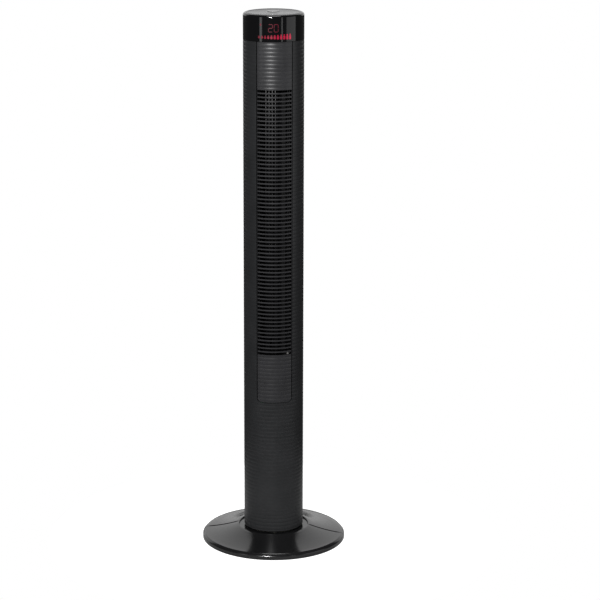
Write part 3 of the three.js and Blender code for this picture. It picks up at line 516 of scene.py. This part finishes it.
@dataclass(frozen=True)
class CircuitBoard(Finish):
    """Green solder resist over a woven glass laminate, with faint copper tracks."""

    track_size: float = 14 * MM
    track_depth: float = 0.05 * MM

    def draw(self, graph: Graph) -> None:
        """Adds the board's nodes."""
        tracks = graph.node("ShaderNodeTexBrick", scale=1 / self.track_size, mortar_size=0.05)
        graph.link(graph.node("ShaderNodeTexCoord").outputs["Object"], tracks.inputs["Vector"])
        self.tinted(graph, tracks.outputs["Fac"], (c * 1.8 + 0.01 for c in self.colour))
        graph.fix("Roughness", 0.35)
        graph.bump(tracks.outputs["Fac"], self.track_depth)


@dataclass(frozen=True)
class LampGlow(Finish):
    """Lit lamps behind a dark window: uneven, and brighter towards one side of the display."""

    strength: float
    strength_right: float
    half_width: float = 33 * MM
    unlit_share: float = 0.03
    patch_size: float = 3 * MM

    def draw(self, graph: Graph) -> None:
        """Adds the lamps' nodes."""
        graph.fix("Base Color", (*(self.unlit_share * c for c in self.colour), 1))
        graph.fix("Roughness", 0.25)
        graph.fix("Emission Color", (*self.colour, 1))
        parts = graph.node("ShaderNodeSeparateXYZ")
        graph.link(graph.node("ShaderNodeTexCoord").outputs["Object"], parts.inputs[0])
        across = (-self.half_width, self.half_width, self.strength, self.strength_right)
        uneven = graph.node("ShaderNodeMath", operation="MULTIPLY")
        graph.link(graph.ramp(parts.outputs["X"], *across), uneven.inputs[0])
        graph.link(graph.spread(graph.noise(self.patch_size, detail=1.0), 0.75, 1.25), uneven.inputs[1])
        graph.feed("Emission Strength", uneven.outputs[0])


class Slot(Enum):
    """The record's material slots."""

    COLUMN = "column_plastic"
    BASE = "base_plastic"
    CAP = "cap_gloss"
    COVER = "cover_satin"
    INNER = "inner_plastic"
    NYLON = "nylon"
    RUBBER = "rubber"
    STEEL = "steel"
    CIRCUIT = "circuit"
    LAMP = "lamp"


DIGIT_GLOW = LampGlow("digit_lamps", (1.0, 0.04, 0.14), 0.095, 0.095)
ICON_GLOW = LampGlow("icon_lamps", (1.0, 0.013, 0.09), 0.12, 0.48)
PANEL_FINISH = MouldedPlastic(
    "panel_charcoal", (0.0135, 0.0135, 0.0146), 0.36, grain_depth=0.003 * MM, specular=0.34
)
VANE_FINISH = MouldedPlastic("vane_black", (0.0015, 0.0015, 0.0016), 0.3, specular=0.28)

SEGMENT_PLACES = {  # where each bar of a digit stands: across, up, and whether it lies level
    "a": (0, 1, True),
    "b": (1, 0.5, False),
    "c": (1, -0.5, False),
    "d": (0, -1, True),
    "e": (-1, -0.5, False),
    "f": (-1, 0.5, False),
    "g": (0, 0, True),
}

FINISHES = {
    Slot.COLUMN: MouldedPlastic(
        "ribbed_charcoal", (0.0112, 0.0115, 0.0122), 0.35, grain_depth=0.003 * MM, specular=0.26
    ),
    Slot.BASE: MouldedPlastic(
        "satin_black", (0.0045, 0.0045, 0.0048), 0.17, 0.025, grain_depth=0.0008 * MM
    ),
    Slot.CAP: PianoLacquer("gloss_black", (0.0022, 0.0022, 0.0025)),
    Slot.COVER: MouldedPlastic(
        "satin_cover", (0.020, 0.020, 0.022), 0.19, 0.02, grain_depth=0.0001 * MM, specular=0.12
    ),
    Slot.INNER: MouldedPlastic("inner_black", (0.0016, 0.0016, 0.0018), 0.55, specular=0.08),
    Slot.NYLON: MouldedPlastic("natural_nylon", (0.62, 0.60, 0.54), 0.45),
    Slot.RUBBER: Rubber("black_rubber", (0.010, 0.010, 0.010)),
    Slot.STEEL: PlatedSteel("plated_steel", (0.50, 0.50, 0.50)),
    Slot.CIRCUIT: CircuitBoard("green_board", (0.012, 0.07, 0.03)),
    Slot.LAMP: LampGlow("red_lamps", (1.0, 0.03, 0.08), 0.5, 0.5),
}


class Wardrobe:
    """Makes each finish once and dresses pieces in it."""

    def __init__(self) -> None:
        """Starts with no finish made."""
        self.made: dict[str, Material] = {}

    def dress(self, piece: Piece, slot: Slot, finish: Finish | None = None) -> None:
        """Gives a piece the finish of a slot, or a variant of it."""
        finish = finish or FINISHES[slot]
        if finish.name not in self.made:
            self.made[finish.name] = finish.make()
        piece.data.materials.clear()
        piece.data.materials.append(self.made[finish.name])

    def dress_frame(self, record: dict, nodes: dict[str, Piece]) -> None:
        """Dresses the CAD nodes by the record's own list of slots."""
        for entry in record["subparts"]:
            self.dress(nodes[entry["node"]], Slot(entry["material_slot"]))


@dataclass
class Assembly:
    """What every sub-assembly shares: the wardrobe, and handing finished pieces over."""

    wardrobe: Wardrobe

    def hand_over(
        self, piece: Piece, body: str, slot: Slot, replaces: Iterable[str] = (),
        finish: Finish | None = None,
    ) -> Piece:
        """Dresses a finished piece and lets it ride on a body.

        Args:
            piece: The finished piece.
            body: The CAD body it moves with.
            slot: The finish it wears.
            replaces: The CAD nodes it stands for.
            finish: A variant of the slot's finish.

        Returns:
            The piece.
        """
        self.wardrobe.dress(piece, slot, finish)
        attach(piece, body)
        names = list(replaces)
        if names:
            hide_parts(*names)
        LOG.info("%s: %d faces, rides on %s", piece.name, len(piece.data.polygons), body)
        return piece


# ------------------------------------------------------------------ ribs


@dataclass(frozen=True)
class RibPattern:
    """The level ribs that run round the whole column: wide rounded crests with narrow grooves."""

    pitch: float = 8.4 * MM
    depth: float = 0.28 * MM
    slot_height: float = 5.5 * MM
    phase: float = 438.8 * MM  # height of one groove, in the middle of the lowest outlet slot
    wall: float = 2.5 * MM

    def profile(self, radius: float) -> Profile:
        """One rib from groove to groove, starting at the phase height."""
        edge = self.slot_height / 2 / self.pitch
        shares = [0, 0.05, 0.14, edge, 0.42, 0.58, 1 - edge, 0.86, 0.95, 1]
        return [(radius - self.depth * abs(2 * t - 1) ** 3, self.phase + t * self.pitch) for t in shares]

    def skin(
        self, name: str, radius: float, low: float, high: float, start: float, sweep: float, steps: int
    ) -> Piece:
        """An open ribbed skin between two heights.

        Args:
            name: The piece's name.
            radius: Radius over the crests.
            low: Lower end.
            high: Upper end.
            start: Azimuth where it starts.
            sweep: Degrees that it covers.
            steps: Steps round.

        Returns:
            The skin, facing out.
        """
        piece = spun(name, self.profile(radius), steps, start, sweep)
        below = math.ceil((self.phase - low) / self.pitch)
        above = math.ceil((high - self.phase) / self.pitch)
        with editing(piece):
            bpy.ops.transform.translate(value=(0, 0, -below * self.pitch))
        apply_modifier(
            piece, "ARRAY", count=below + above, use_relative_offset=False, use_constant_offset=True,
            constant_offset_displace=(0, 0, self.pitch), use_merge_vertices=True,
            merge_threshold=MERGE_DISTANCE,
        )
        sliced(piece, (0, 0, high), (0, 0, 1))
        sliced(piece, (0, 0, low), (0, 0, -1))
        face_outwards(piece)
        return piece

    def open_slots(self, piece: Piece, count: int, step: int, half_width: float) -> None:
        """Deletes the groove faces of a run of slots that starts at the phase height.

        Args:
            piece: The open skin.
            count: How many slots there are.
            step: Ribs from one slot to the next.
            half_width: Half the slots' width in plan.
        """
        lowest = self.phase - self.pitch / 2
        highest = self.phase + ((count - 1) * step + 0.5) * self.pitch

        def in_slot(face: bmesh.types.BMFace) -> bool:
            middle = face.calc_center_median()
            if not lowest < middle.z < highest or abs(middle.x) > half_width:
                return False
            index = round((middle.z - self.phase) / self.pitch)
            near = abs(middle.z - self.phase - index * self.pitch) < self.slot_height / 2
            return near and index % step == 0

        with editing(piece):
            select_faces(piece, in_slot)
            bpy.ops.mesh.delete(type="FACE")

    def thicken(self, piece: Piece, wall: float = 0.0) -> None:
        """Gives an open skin a wall inwards, the shells' own unless another is named."""
        apply_modifier(piece, "SOLIDIFY", thickness=wall or self.wall, offset=-1, use_even_offset=True)


# ------------------------------------------------------------------ column


@dataclass
class Column(Assembly):
    """The ribbed shells of the column: lower tube, front and rear housings and the front grille."""

    ribs: RibPattern = field(default_factory=RibPattern)
    steps: int = 96
    panel_half_angle: float = 36.0
    panel_steps: int = 40
    panel_corner: float = 10 * MM
    panel_groove: float = 1.5 * MM
    stile: float = 0.9 * MM
    slat_depth: float = 1.2 * MM
    outlet_gaps: int = 69
    intake_step: int = 3
    intake_half_angle: float = 45.0
    vane_azimuths: tuple[float, ...] = (-17.4, -11.0, -4.7, 1.6, 27.0)
    vane_thickness: float = 1.1 * MM
    vane_depth: float = 3.0 * MM
    vane_gap: float = 0.8 * MM
    half_gap: float = 0.13  # degrees from each edge of a housing half to the plane between them
    corner_turns: tuple[int, ...] = (15, 30, 45, 60, 75)
    window_above: float = 20 * MM
    window_ahead: float = 10 * MM
    screen_gap: float = 0.3 * MM
    screen_thickness: float = 0.4 * MM
    screen_margin: float = 4.0
    well_radius: float = 3.7 * MM
    well_wall: float = 0.9 * MM
    well_floor: float = 12 * MM
    boss_front: float = 0.5 * MM
    screw_hole: float = 1.6 * MM
    screw_count: int = 6

    def __post_init__(self) -> None:
        """Reads the shells' places from the frame."""
        self.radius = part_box("lower_tube")[1].x
        self.tube_low, self.tube_high = (corner.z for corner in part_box("lower_tube"))
        self.housing_low, self.housing_high = (corner.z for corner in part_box("front_housing"))
        self.panel_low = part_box("front_grille")[0].z
        self.panel_half_width = self.radius * math.sin(math.radians(self.panel_half_angle))
        self.slots_low = self.ribs.phase - self.ribs.pitch
        self.slots_high = self.ribs.phase + self.outlet_gaps * self.ribs.pitch

    def build(self) -> None:
        """Builds and dresses the shells."""
        self.hand_over(self.lower_tube(), "column", Slot.COLUMN, ["lower_tube"])
        self.hand_over(self.front_housing(), "column", Slot.COLUMN, ["front_housing"])
        self.hand_over(self.rear_housing(), "column", Slot.COLUMN, ["rear_housing"])
        self.hand_over(self.front_grille(), "column", Slot.COLUMN, ["front_grille"], PANEL_FINISH)
        self.hand_over(self.vanes(), "column", Slot.COLUMN, finish=VANE_FINISH)
        self.hand_over(self.intake_screen(), "column", Slot.INNER)

    def lower_tube(self) -> Piece:
        """The tube between the base and the housings."""
        piece = self.ribs.skin(
            "ribbed_lower_tube", self.radius, self.tube_low, self.tube_high, 0, 360, self.steps
        )
        self.ribs.thicken(piece)
        return smooth(piece)

    def housing_skin(self, name: str, middle: float) -> Piece:
        """The ribbed skin of the housing's half round an azimuth."""
        return self.ribs.skin(
            name, self.radius, self.housing_low, self.housing_high, middle - 90 + self.half_gap,
            180 - 2 * self.half_gap, self.steps // 2,
        )

    def front_housing(self) -> Piece:
        """The front half of the housing, with the window that the front panel fills."""
        piece = self.housing_skin("ribbed_front_housing", 0)
        self.ribs.thicken(piece)
        carved(piece, self.window_tool())
        return smooth(piece)

    def window_tool(self) -> Piece:
        """The round-cornered window as a solid that reaches through the front wall."""
        side, low = self.panel_half_width, self.panel_low - self.panel_groove
        top = self.housing_high + self.window_above
        tool = box_piece(
            "window_tool", (-side, -self.radius - self.window_ahead, low), (side, -self.radius / 2, top)
        )
        round_corners(tool, self.panel_corner, 8, below=self.housing_high)
        return tool

    def rear_housing(self) -> Piece:
        """The rear half of the housing, with its air intake slots."""
        piece = self.housing_skin("ribbed_rear_housing", 180)
        slots = math.ceil(self.outlet_gaps / self.intake_step)
        half_width = self.radius * math.sin(math.radians(self.intake_half_angle))
        self.ribs.open_slots(piece, slots, self.intake_step, half_width)
        self.ribs.thicken(piece)
        bosses = self.screw_rods("boss", self.well_radius + self.well_wall, self.boss_front, self.radius)
        core = rod_piece(
            "core", self.radius - self.ribs.wall / 2, self.housing_low, self.housing_high, sides=self.steps
        )
        carved(bosses, core, "INTERSECT")
        carved(piece, bosses, "UNION")
        carved(piece, self.screw_rods("well", self.well_radius, self.well_floor, self.radius))
        carved(piece, self.screw_rods("hole", self.screw_hole, 0, self.radius))
        return smooth(piece)

    def screw_rods(self, name: str, radius: float, front: float, back: float) -> Piece:
        """A level rod on the axis of each rear screw, from one depth to another, as one piece."""
        rods = []
        for number in range(1, self.screw_count + 1):
            low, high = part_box(f"rear_screw_{number}")
            deselect_all()
            bpy.ops.mesh.primitive_cylinder_add(
                vertices=32, radius=radius, depth=back - front, rotation=(math.radians(90), 0, 0),
                location=((low.x + high.x) / 2, (front + back) / 2, (low.z + high.z) / 2),
            )
            rods.append(settle(bpy.context.object))
        return merged(name, rods)

    def front_grille(self) -> Piece:
        """The front panel: ribbed above and below, with a slat for every rib between."""
        reach = self.panel_half_angle
        low = self.panel_low
        piece = self.ribs.skin(
            "slatted_front_panel", self.radius, low, self.housing_high, -reach, 2 * reach, self.panel_steps
        )
        side = self.panel_half_width - self.panel_groove
        corner = self.panel_corner - self.panel_groove
        for sign in (-1, 1):
            sliced(piece, (sign * side, 0, 0), (sign, 0, 0))
            for turn in self.corner_turns:
                across, down = math.cos(math.radians(turn)), math.sin(math.radians(turn))
                point = (sign * (side - corner + corner * across), 0, low + corner - corner * down)
                sliced(piece, point, (sign * across, 0, -down))
        self.ribs.open_slots(piece, self.outlet_gaps, 1, side - self.stile)
        self.ribs.thicken(piece, self.slat_depth)
        return smooth(piece)

    def intake_screen(self) -> Piece:
        """The thin dust screen close behind the intake slots."""
        radius = self.radius - self.ribs.wall - self.screen_gap
        reach = self.intake_half_angle + self.screen_margin
        profile = [(radius, self.slots_low), (radius, self.slots_high)]
        piece = spun("intake_screen", profile, self.steps // 3, 180 - reach, 2 * reach)
        face_outwards(piece)
        apply_modifier(piece, "SOLIDIFY", thickness=self.screen_thickness, offset=-1)
        return smooth(piece)

    def vanes(self) -> Piece:
        """The upright vanes close behind the slats."""
        front = self.radius - self.ribs.wall - self.vane_gap
        half = self.vane_thickness / 2
        vane = box_piece(
            "vane", (-half, -front, self.slots_low), (half, self.vane_depth - front, self.slots_high),
            0.3 * MM,
        )
        row = [copied(vane, f"vane_{i}", turn=azimuth) for i, azimuth in enumerate(self.vane_azimuths)]
        bpy.data.objects.remove(vane)
        return smooth(merged("outlet_vanes", row))


# ------------------------------------------------------------------ cap


@dataclass
class Cap(Assembly):
    """The glossy band at the top, the satin cover on it and the round power key."""

    shoulder: float = 5.0 * MM
    wall: float = 2.5 * MM
    cover_edge: float = 2.0 * MM
    cover_dish: float = 0.8 * MM
    steps: int = 128
    fit: float = 0.3 * MM
    ledge_width: float = 4.0 * MM
    ledge_depth: float = 2.5 * MM
    key_flange: float = 2.0 * MM
    lamp_proud: float = 0.06 * MM
    lamp_depth: float = 0.3 * MM
    bend_pitch: float = 4.0 * MM
    bend_reach: int = 8  # pitches cut on each side of the front
    digit_middle: float = -2.9 * MM
    digit_pitch: float = 12.0 * MM
    digit_width: float = 8.4 * MM
    digit_height: float = 15.6 * MM
    digit_centre: float = 1143.2 * MM
    stroke: float = 1.2 * MM
    icon_count: int = 11
    icon_half_angle: float = 30.0
    icon_width: float = 4.6 * MM
    icon_height: float = 14.5 * MM
    icon_centre: float = 1123.4 * MM
    mode_place: tuple[float, float] = (-30.3 * MM, 1150.0 * MM)
    mode_size: tuple[float, float] = (2.6 * MM, 5.0 * MM)

    def __post_init__(self) -> None:
        """Reads places from the frame."""
        low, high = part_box("display_cap")
        self.radius, self.low, self.high = high.x, low.z, high.z
        low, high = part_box("top_cover")
        self.cover_radius, self.cover_low, self.cover_high = high.x, low.z, high.z
        low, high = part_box("power_key")
        self.key_place = ((low.x + high.x) / 2, (low.y + high.y) / 2)
        self.key_radius = (high.x - low.x) / 2 - self.key_flange
        self.key_low, self.key_high = low.z, high.z

    def build(self) -> None:
        """Builds and dresses the cap's pieces."""
        self.hand_over(self.band(), "column", Slot.CAP, ["display_cap"])
        self.hand_over(self.cover(), "column", Slot.COVER, ["top_cover"])
        self.hand_over(self.key(), "key", Slot.CAP, ["power_key"])
        self.hand_over(self.digits(), "column", Slot.LAMP, ["digit_display"], DIGIT_GLOW)
        self.hand_over(self.icons(), "column", Slot.LAMP, ["icon_strip"], ICON_GLOW)

    def lamp(self, name: str, across: float, height: float, width: float, tall: float) -> Piece:
        """One lit segment with rounded corners on the band, by its middle, its width and its height."""
        front = self.radius + self.lamp_proud
        low = (across - width / 2, -front, height - tall / 2)
        segment = box_piece(name, low, (across + width / 2, self.lamp_depth - front, height + tall / 2))
        round_corners(segment, min(width, tall) * 0.3, 2)
        return segment

    def wrapped(self, piece: Piece) -> Piece:
        """Bends a flat piece in front of the band round the band."""
        places = range(-self.bend_reach, self.bend_reach + 1)
        for cut in [(place + share) * self.bend_pitch for share in (0.25, 0.5, 0.75) for place in places]:
            with editing(piece):
                bpy.ops.mesh.bisect(plane_co=(cut, 0, 0), plane_no=(1, 0, 0))
        for vertex in piece.data.vertices:
            x, y, z = vertex.co
            vertex.co = azimuth_point(-y, math.degrees(x / self.radius), z)
        return piece

    def digits(self) -> Piece:
        """Two seven-segment digits that show 20."""
        lit = {"2": "abged", "0": "abcdef"}
        segments = []
        for place, digit in enumerate("20"):
            middle = self.digit_middle + (place - 0.5) * self.digit_pitch
            for bar in lit[digit]:
                column, level, level_bar = SEGMENT_PLACES[bar]
                x = middle + column * self.digit_width / 2
                z = self.digit_centre + level * self.digit_height / 2
                width = self.digit_width - self.stroke if level_bar else self.stroke
                tall = self.stroke if level_bar else self.digit_height / 2 - self.stroke
                segments.append(self.lamp(f"segment_{place}{bar}", x, z, width, tall))
        return self.wrapped(merged("lit_digits", segments))

    def icons(self) -> Piece:
        """The row of indicator lamps under the digits, taller towards the right."""
        lamps = []
        for i in range(self.icon_count):
            share = i / (self.icon_count - 1)
            x = self.radius * math.radians(self.icon_half_angle) * (2 * share - 1)
            tall = self.icon_height * (0.45 + 0.55 * share)
            dot_centre = self.icon_centre + tall * 0.43
            lamps.append(self.lamp(f"bar_{i}", x, self.icon_centre, self.icon_width, tall * 0.62))
            lamps.append(self.lamp(f"dot_{i}", x, dot_centre, self.icon_width * 0.7, tall * 0.16))
        lamps.append(self.lamp("mode", *self.mode_place, *self.mode_size))
        return self.wrapped(merged("lit_icons", lamps))

    def band(self) -> Piece:
        """The glossy band with its rounded shoulder and the ledge that the cover lies on."""
        inside = self.radius - self.wall
        lip = self.cover_radius + self.fit
        ledge = self.cover_low - self.fit
        centre = (self.radius - self.shoulder, self.high - self.shoulder)
        profile = [
            (inside, self.low),
            (self.radius - 0.4 * MM, self.low),
            (self.radius, self.low + 0.4 * MM),
            *arc(centre, self.shoulder, 0, 80, 10),
            (lip + 0.3 * MM, self.high),
            (lip, self.high - 0.3 * MM),
            (lip, ledge),
            (lip - self.ledge_width, ledge),
            (lip - self.ledge_width, ledge - self.ledge_depth),
            (inside, ledge - self.ledge_depth),
        ]
        return smooth(spun("gloss_band", profile, self.steps, closed=True), 30)

    def cover(self) -> Piece:
        """The dished cover with a raised rim and a round opening for the key."""
        rim = self.cover_radius - self.cover_edge
        dish = self.cover_high - self.cover_dish
        profile = [
            (0.0, self.cover_low),
            (self.cover_radius, self.cover_low),
            *arc((self.cover_radius - 0.6 * MM, self.cover_high - 0.6 * MM), 0.6 * MM, 0, 90, 5),
            (rim, self.cover_high),
            (rim - 0.4 * MM, self.cover_high - 0.1 * MM),
            (rim - 1.6 * MM, dish + 0.1 * MM),
            (rim - 2.2 * MM, dish),
            (0.0, dish),
        ]
        piece = spun("dished_cover", profile, self.steps)
        hole = rod_piece(
            "key_hole", self.key_radius + 0.4 * MM, self.cover_low - 1 * MM, self.cover_high + 1 * MM,
            self.key_place, sides=64,
        )
        carved(piece, hole)
        return smooth(piece, 30)

    def key(self) -> Piece:
        """The power key: a shallow dished button on a flange."""
        flange = self.key_low + 1.2 * MM
        profile = [
            (0.0, self.key_low),
            (self.key_radius + self.key_flange, self.key_low),
            (self.key_radius + self.key_flange, flange),
            (self.key_radius, flange),
            *arc((self.key_radius - 0.5 * MM, self.key_high - 0.5 * MM), 0.5 * MM, 0, 90, 5),
            (self.key_radius * 0.8, self.key_high - 0.15 * MM),
            (self.key_radius * 0.4, self.key_high - 0.35 * MM),
            (0.0, self.key_high - 0.4 * MM),
        ]
        piece = spun("round_power_key", profile, 64)
        with editing(piece):
            bpy.ops.transform.translate(value=(*self.key_place, 0))
        return smooth(piece, 30)


# ------------------------------------------------------------------ base


@dataclass
class Base(Assembly):
    """The round base: two shells that meet at a seam, the turntable's seat and the feet."""

    wall: float = 2.8 * MM
    collar: float = 76.5 * MM
    collar_gap: float = 0.35 * MM
    seat_top: float = 28 * MM
    seat_flange: float = 21 * MM
    post_radius: float = 16 * MM
    post_bore: float = 12 * MM
    seam_angle: float = -10.0
    seam_gap: float = 1.6 * MM
    seam_step: float = 1.0 * MM
    shell_low: float = 0.6 * MM
    notch_width: float = 10 * MM
    notch_start: float = 138 * MM
    notch_high: float = 8 * MM
    flare_sag: float = 2.2 * MM
    rim_side: float = 9.5 * MM
    rim_bevel: float = 4.5 * MM
    ribs_each: int = 5
    rib_half: float = 1.2 * MM
    pads_each: int = 3
    pad_radius: float = 10 * MM
    pad_inset: float = 14.5 * MM
    foot_radius: float = 8 * MM
    foot_count: int = 6
    steps: int = 72

    def __post_init__(self) -> None:
        """Reads places from the frame."""
        low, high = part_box("base_rear_half")
        self.radius, self.low, self.collar_high = high.y, low.z, high.z
        self.seat_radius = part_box("turntable_seat")[1].x
        self.foot_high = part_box("rubber_foot_1")[1].z
        self.feet = {n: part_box(f"rubber_foot_{n}") for n in range(1, self.foot_count + 1)}

    def build(self) -> None:
        """Builds and dresses the base's pieces."""
        self.hand_over(self.half("front_shell", 0, 0.0), "base", Slot.BASE, ["base_front_half"])
        self.hand_over(self.half("rear_shell", 180, self.seam_step), "base", Slot.BASE, ["base_rear_half"])
        self.hand_over(self.seat(), "base", Slot.BASE, ["turntable_seat"])
        for number, (low, high) in self.feet.items():
            foot = self.foot(number, (low + high) / 2)
            self.hand_over(foot, "base", Slot.RUBBER, [f"rubber_foot_{number}"])

    def skin_profile(self, step: float) -> Profile:
        """The outside of a shell, from the opening out over the flare, raised by a step, and down."""
        top = self.collar_high
        rim = self.radius - self.rim_bevel
        rim_top = self.rim_side + self.rim_bevel
        flare = []
        for i in range(1, 16):
            t = i / 16
            radius = self.collar + 1.5 * MM + (rim - self.collar - 3 * MM) * t
            straight = top - 0.3 * MM + (rim_top - top + 0.3 * MM) * t
            flare.append((radius, straight - 4 * self.flare_sag * t * (1 - t) + step * min(1, 8 * (1 - t))))
        return [
            (self.collar, top - 7 * MM),
            (self.collar, top - 1 * MM),
            *arc((self.collar + 1 * MM, top - 1 * MM), 1 * MM, 180, 80, 5)[1:],
            *flare,
            (rim - 0.6 * MM, rim_top + 0.15 * MM),
            (rim + 0.3 * MM, rim_top - 0.5 * MM),
            (self.radius - 1.0 * MM, self.rim_side + 0.7 * MM),
            (self.radius - 0.2 * MM, self.rim_side - 0.4 * MM),
            (self.radius, self.rim_side - 1.4 * MM),
            (self.radius, self.shell_low + 0.5 * MM),
            (self.radius - 0.5 * MM, self.shell_low),
        ]

    def half(self, name: str, middle: float, step: float) -> Piece:
        """One half of the base, with its stiffening ribs and foot pads.

        Args:
            name: The piece's name.
            middle: Azimuth of the half's middle before the seam's turn.
            step: How far its flare stands over the other half's.

        Returns:
            The shell.
        """
        gap = math.degrees(self.seam_gap / 2 / self.radius)
        start = middle - 90 + self.seam_angle + gap
        skin = spun(name, self.skin_profile(step), self.steps, start, 180 - 2 * gap)
        face_outwards(skin)
        apply_modifier(skin, "SOLIDIFY", thickness=self.wall, offset=-1)
        if middle == 180:
            side, high = self.notch_width / 2, self.notch_high
            carved(skin, box_piece("notch", (-side, self.notch_start, -high), (side, 1, high)))
        extras = [self.rib(azimuth) for azimuth in self.spaced(middle, self.ribs_each)]
        extras += [self.pad(azimuth) for azimuth in self.spaced(middle, self.pads_each)]
        return smooth(merged(name, [skin, *extras]), 30)

    def spaced(self, middle: float, count: int) -> list[float]:
        """Azimuths spaced evenly under one half."""
        return [middle + self.seam_angle - 90 + (i + 0.5) * 180 / count for i in range(count)]

    def rib(self, azimuth: float) -> Piece:
        """A stiffening rib under a shell, cut off under the flare."""
        inner, outer = self.seat_radius + 1 * MM, self.radius - 2 * MM
        low, high = self.low + 2 * MM, self.collar_high - 1 * MM
        rib = box_piece("rib", (-self.rib_half, inner, low), (self.rib_half, outer, high), 0.3 * MM)
        rim_top = self.rim_side + self.rim_bevel
        slope = (self.collar_high - rim_top) / (self.radius - self.rim_bevel - self.collar)
        sliced(rib, (0, self.radius - self.rim_bevel, rim_top - 3.6 * MM), (0, slope, 1), True)
        sliced(rib, (0, self.radius - 2.6 * MM, self.rim_side), (0, 1, 0.2), True)
        turned = copied(rib, "turned_rib", turn=azimuth - 180)
        bpy.data.objects.remove(rib)
        return turned

    def pad(self, azimuth: float) -> Piece:
        """The round seat that holds a rubber foot."""
        place = azimuth_point(self.radius - self.pad_inset, azimuth)[:2]
        low, high = self.foot_high + 0.3 * MM, self.foot_high + 6 * MM
        return rod_piece("pad", self.pad_radius, low, high, place, 0.4 * MM)

    def seat(self) -> Piece:
        """The fixed seat that the column turns on, with its hollow post."""
        low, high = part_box("turntable_seat")
        edge = self.collar - self.collar_gap
        profile = [
            (self.post_bore, low.z),
            (high.x - 0.5 * MM, low.z),
            (high.x, low.z + 0.5 * MM),
            (high.x, self.seat_flange),
            (edge, self.seat_flange),
            (edge, self.seat_top - 0.6 * MM),
            (edge - 0.6 * MM, self.seat_top),
            (self.post_radius, self.seat_top),
            (self.post_radius, high.z - 0.6 * MM),
            (self.post_radius - 0.6 * MM, high.z),
            (self.post_bore, high.z),
        ]
        return smooth(spun("seat_disc", profile, 96, closed=True), 30)

    def foot(self, number: int, centre: Vector) -> Piece:
        """A round rubber foot with a soft edge and a shallow ring in its tread."""
        foot = rod_piece(
            f"soft_foot_{number}", self.foot_radius, 0.0, self.foot_high, (centre.x, centre.y), 0.7 * MM, 40
        )
        with editing(foot):
            select_faces(foot, lambda face: face.normal.z < -0.999)
            bpy.ops.mesh.inset(thickness=2 * MM)
            bpy.ops.mesh.inset(thickness=1.2 * MM)
            bpy.ops.transform.translate(value=(0, 0, 0.5 * MM))
        return smooth(foot)


# ------------------------------------------------------------------ studio


@dataclass(frozen=True)
class Softbox:
    """A rectangular light that looks at a point, with its power in watts."""

    name: str
    place: Point
    target: Point
    size: tuple[float, float]
    power: float

    def hang(self) -> None:
        """Adds the light to the scene."""
        data = bpy.data.lights.new(self.name, "AREA")
        data.shape = "RECTANGLE"
        data.size, data.size_y = self.size
        data.energy = self.power
        light = bpy.data.objects.new(self.name, data)
        light.location = self.place
        light.visible_camera = False
        look = Vector(self.target) - Vector(self.place)
        light.rotation_euler = look.to_track_quat("-Z", "Y").to_euler()
        bpy.context.scene.collection.objects.link(light)


CHEST = (0, 0, 0.9)  # the height of the column that the side lights face
SOFTBOXES = (
    Softbox("key", (-0.72, -2.9, 1.9), CHEST, (0.42, 0.42), 165),
    Softbox("backdrop", (0, 9.0, 5.0), (0, 0, 5.0), (24.0, 9.7), 650),
    Softbox("right_panel", (2.39, -1.02, 0.9), CHEST, (1.9, 1.9), 10),
    Softbox("left_strip", (-2.04, -1.68, 0.9), CHEST, (0.42, 1.9), 4.5),
    Softbox("right_strip", (1.4, -2.5, 0.9), CHEST, (0.16, 1.9), 2.0),
    Softbox("overhead", (0, -0.3, 3.6), (0, 0, 0), (1.2, 1.2), 25),
)


@dataclass
class Studio:
    """A pale floor, soft lights and the camera."""

    distance: float = 4.721
    height: float = 1.748
    azimuth: float = -2.0
    pitch: float = 14.325
    lens: float = 134.35
    shift: float = 0.044
    rise: float = 0.0004
    floor_radius: float = 0.5
    floor_grey: float = 0.42
    floor_glow: float = 0.04
    surround: float = 0.06

    def build(self) -> None:
        """Sets up the stage."""
        self.camera()
        self.floor()
        self.world()
        for softbox in SOFTBOXES:
            softbox.hang()

    def camera(self) -> None:
        """Places the camera."""
        data = bpy.data.cameras.new("camera")
        data.lens = self.lens
        data.shift_x, data.shift_y = self.shift, self.rise
        data.clip_end = 200
        camera = bpy.data.objects.new("camera", data)
        camera.location = azimuth_point(self.distance, self.azimuth, self.height)
        camera.rotation_euler = (math.radians(90 - self.pitch), 0, math.radians(self.azimuth))
        bpy.context.scene.collection.objects.link(camera)
        bpy.context.scene.camera = camera
        bpy.context.scene.view_settings.view_transform = "Standard"

    def floor(self) -> None:
        """Lays a round pale floor under the object."""
        deselect_all()
        bpy.ops.mesh.primitive_circle_add(
            vertices=96, radius=self.floor_radius, fill_type="NGON", location=(0, 0, 0)
        )
        floor = bpy.context.object
        floor.name = "pale_floor"
        graph = Graph(bpy.data.materials.new("pale_floor"), "Principled BSDF")
        graph.fix("Base Color", (self.floor_grey, self.floor_grey, self.floor_grey, 1))
        graph.fix("Roughness", 0.9)
        graph.fix("Specular IOR Level", 0.1)
        graph.fix("Emission Color", (1, 1, 1, 1))
        graph.feed("Emission Strength", graph.seen(self.floor_glow))
        floor.data.materials.append(graph.owner)

    def world(self) -> None:
        """A white surround that casts only a little light of its own."""
        graph = Graph(bpy.data.worlds.new("studio"), "Background")
        graph.fix("Color", (1, 1, 1, 1))
        graph.feed("Strength", graph.seen(self.surround))
        bpy.context.scene.world = graph.owner


def main() -> None:
    """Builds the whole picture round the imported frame."""
    logging.basicConfig(level=logging.INFO, format="%(name)s: %(message)s")
    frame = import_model()
    Studio().build()
    wardrobe = Wardrobe()
    wardrobe.dress_frame(frame["record"], frame["nodes"])
    for assembly in (Column(wardrobe), Cap(wardrobe), Base(wardrobe)):
        assembly.build()


if __name__ == "__main__":
    main()
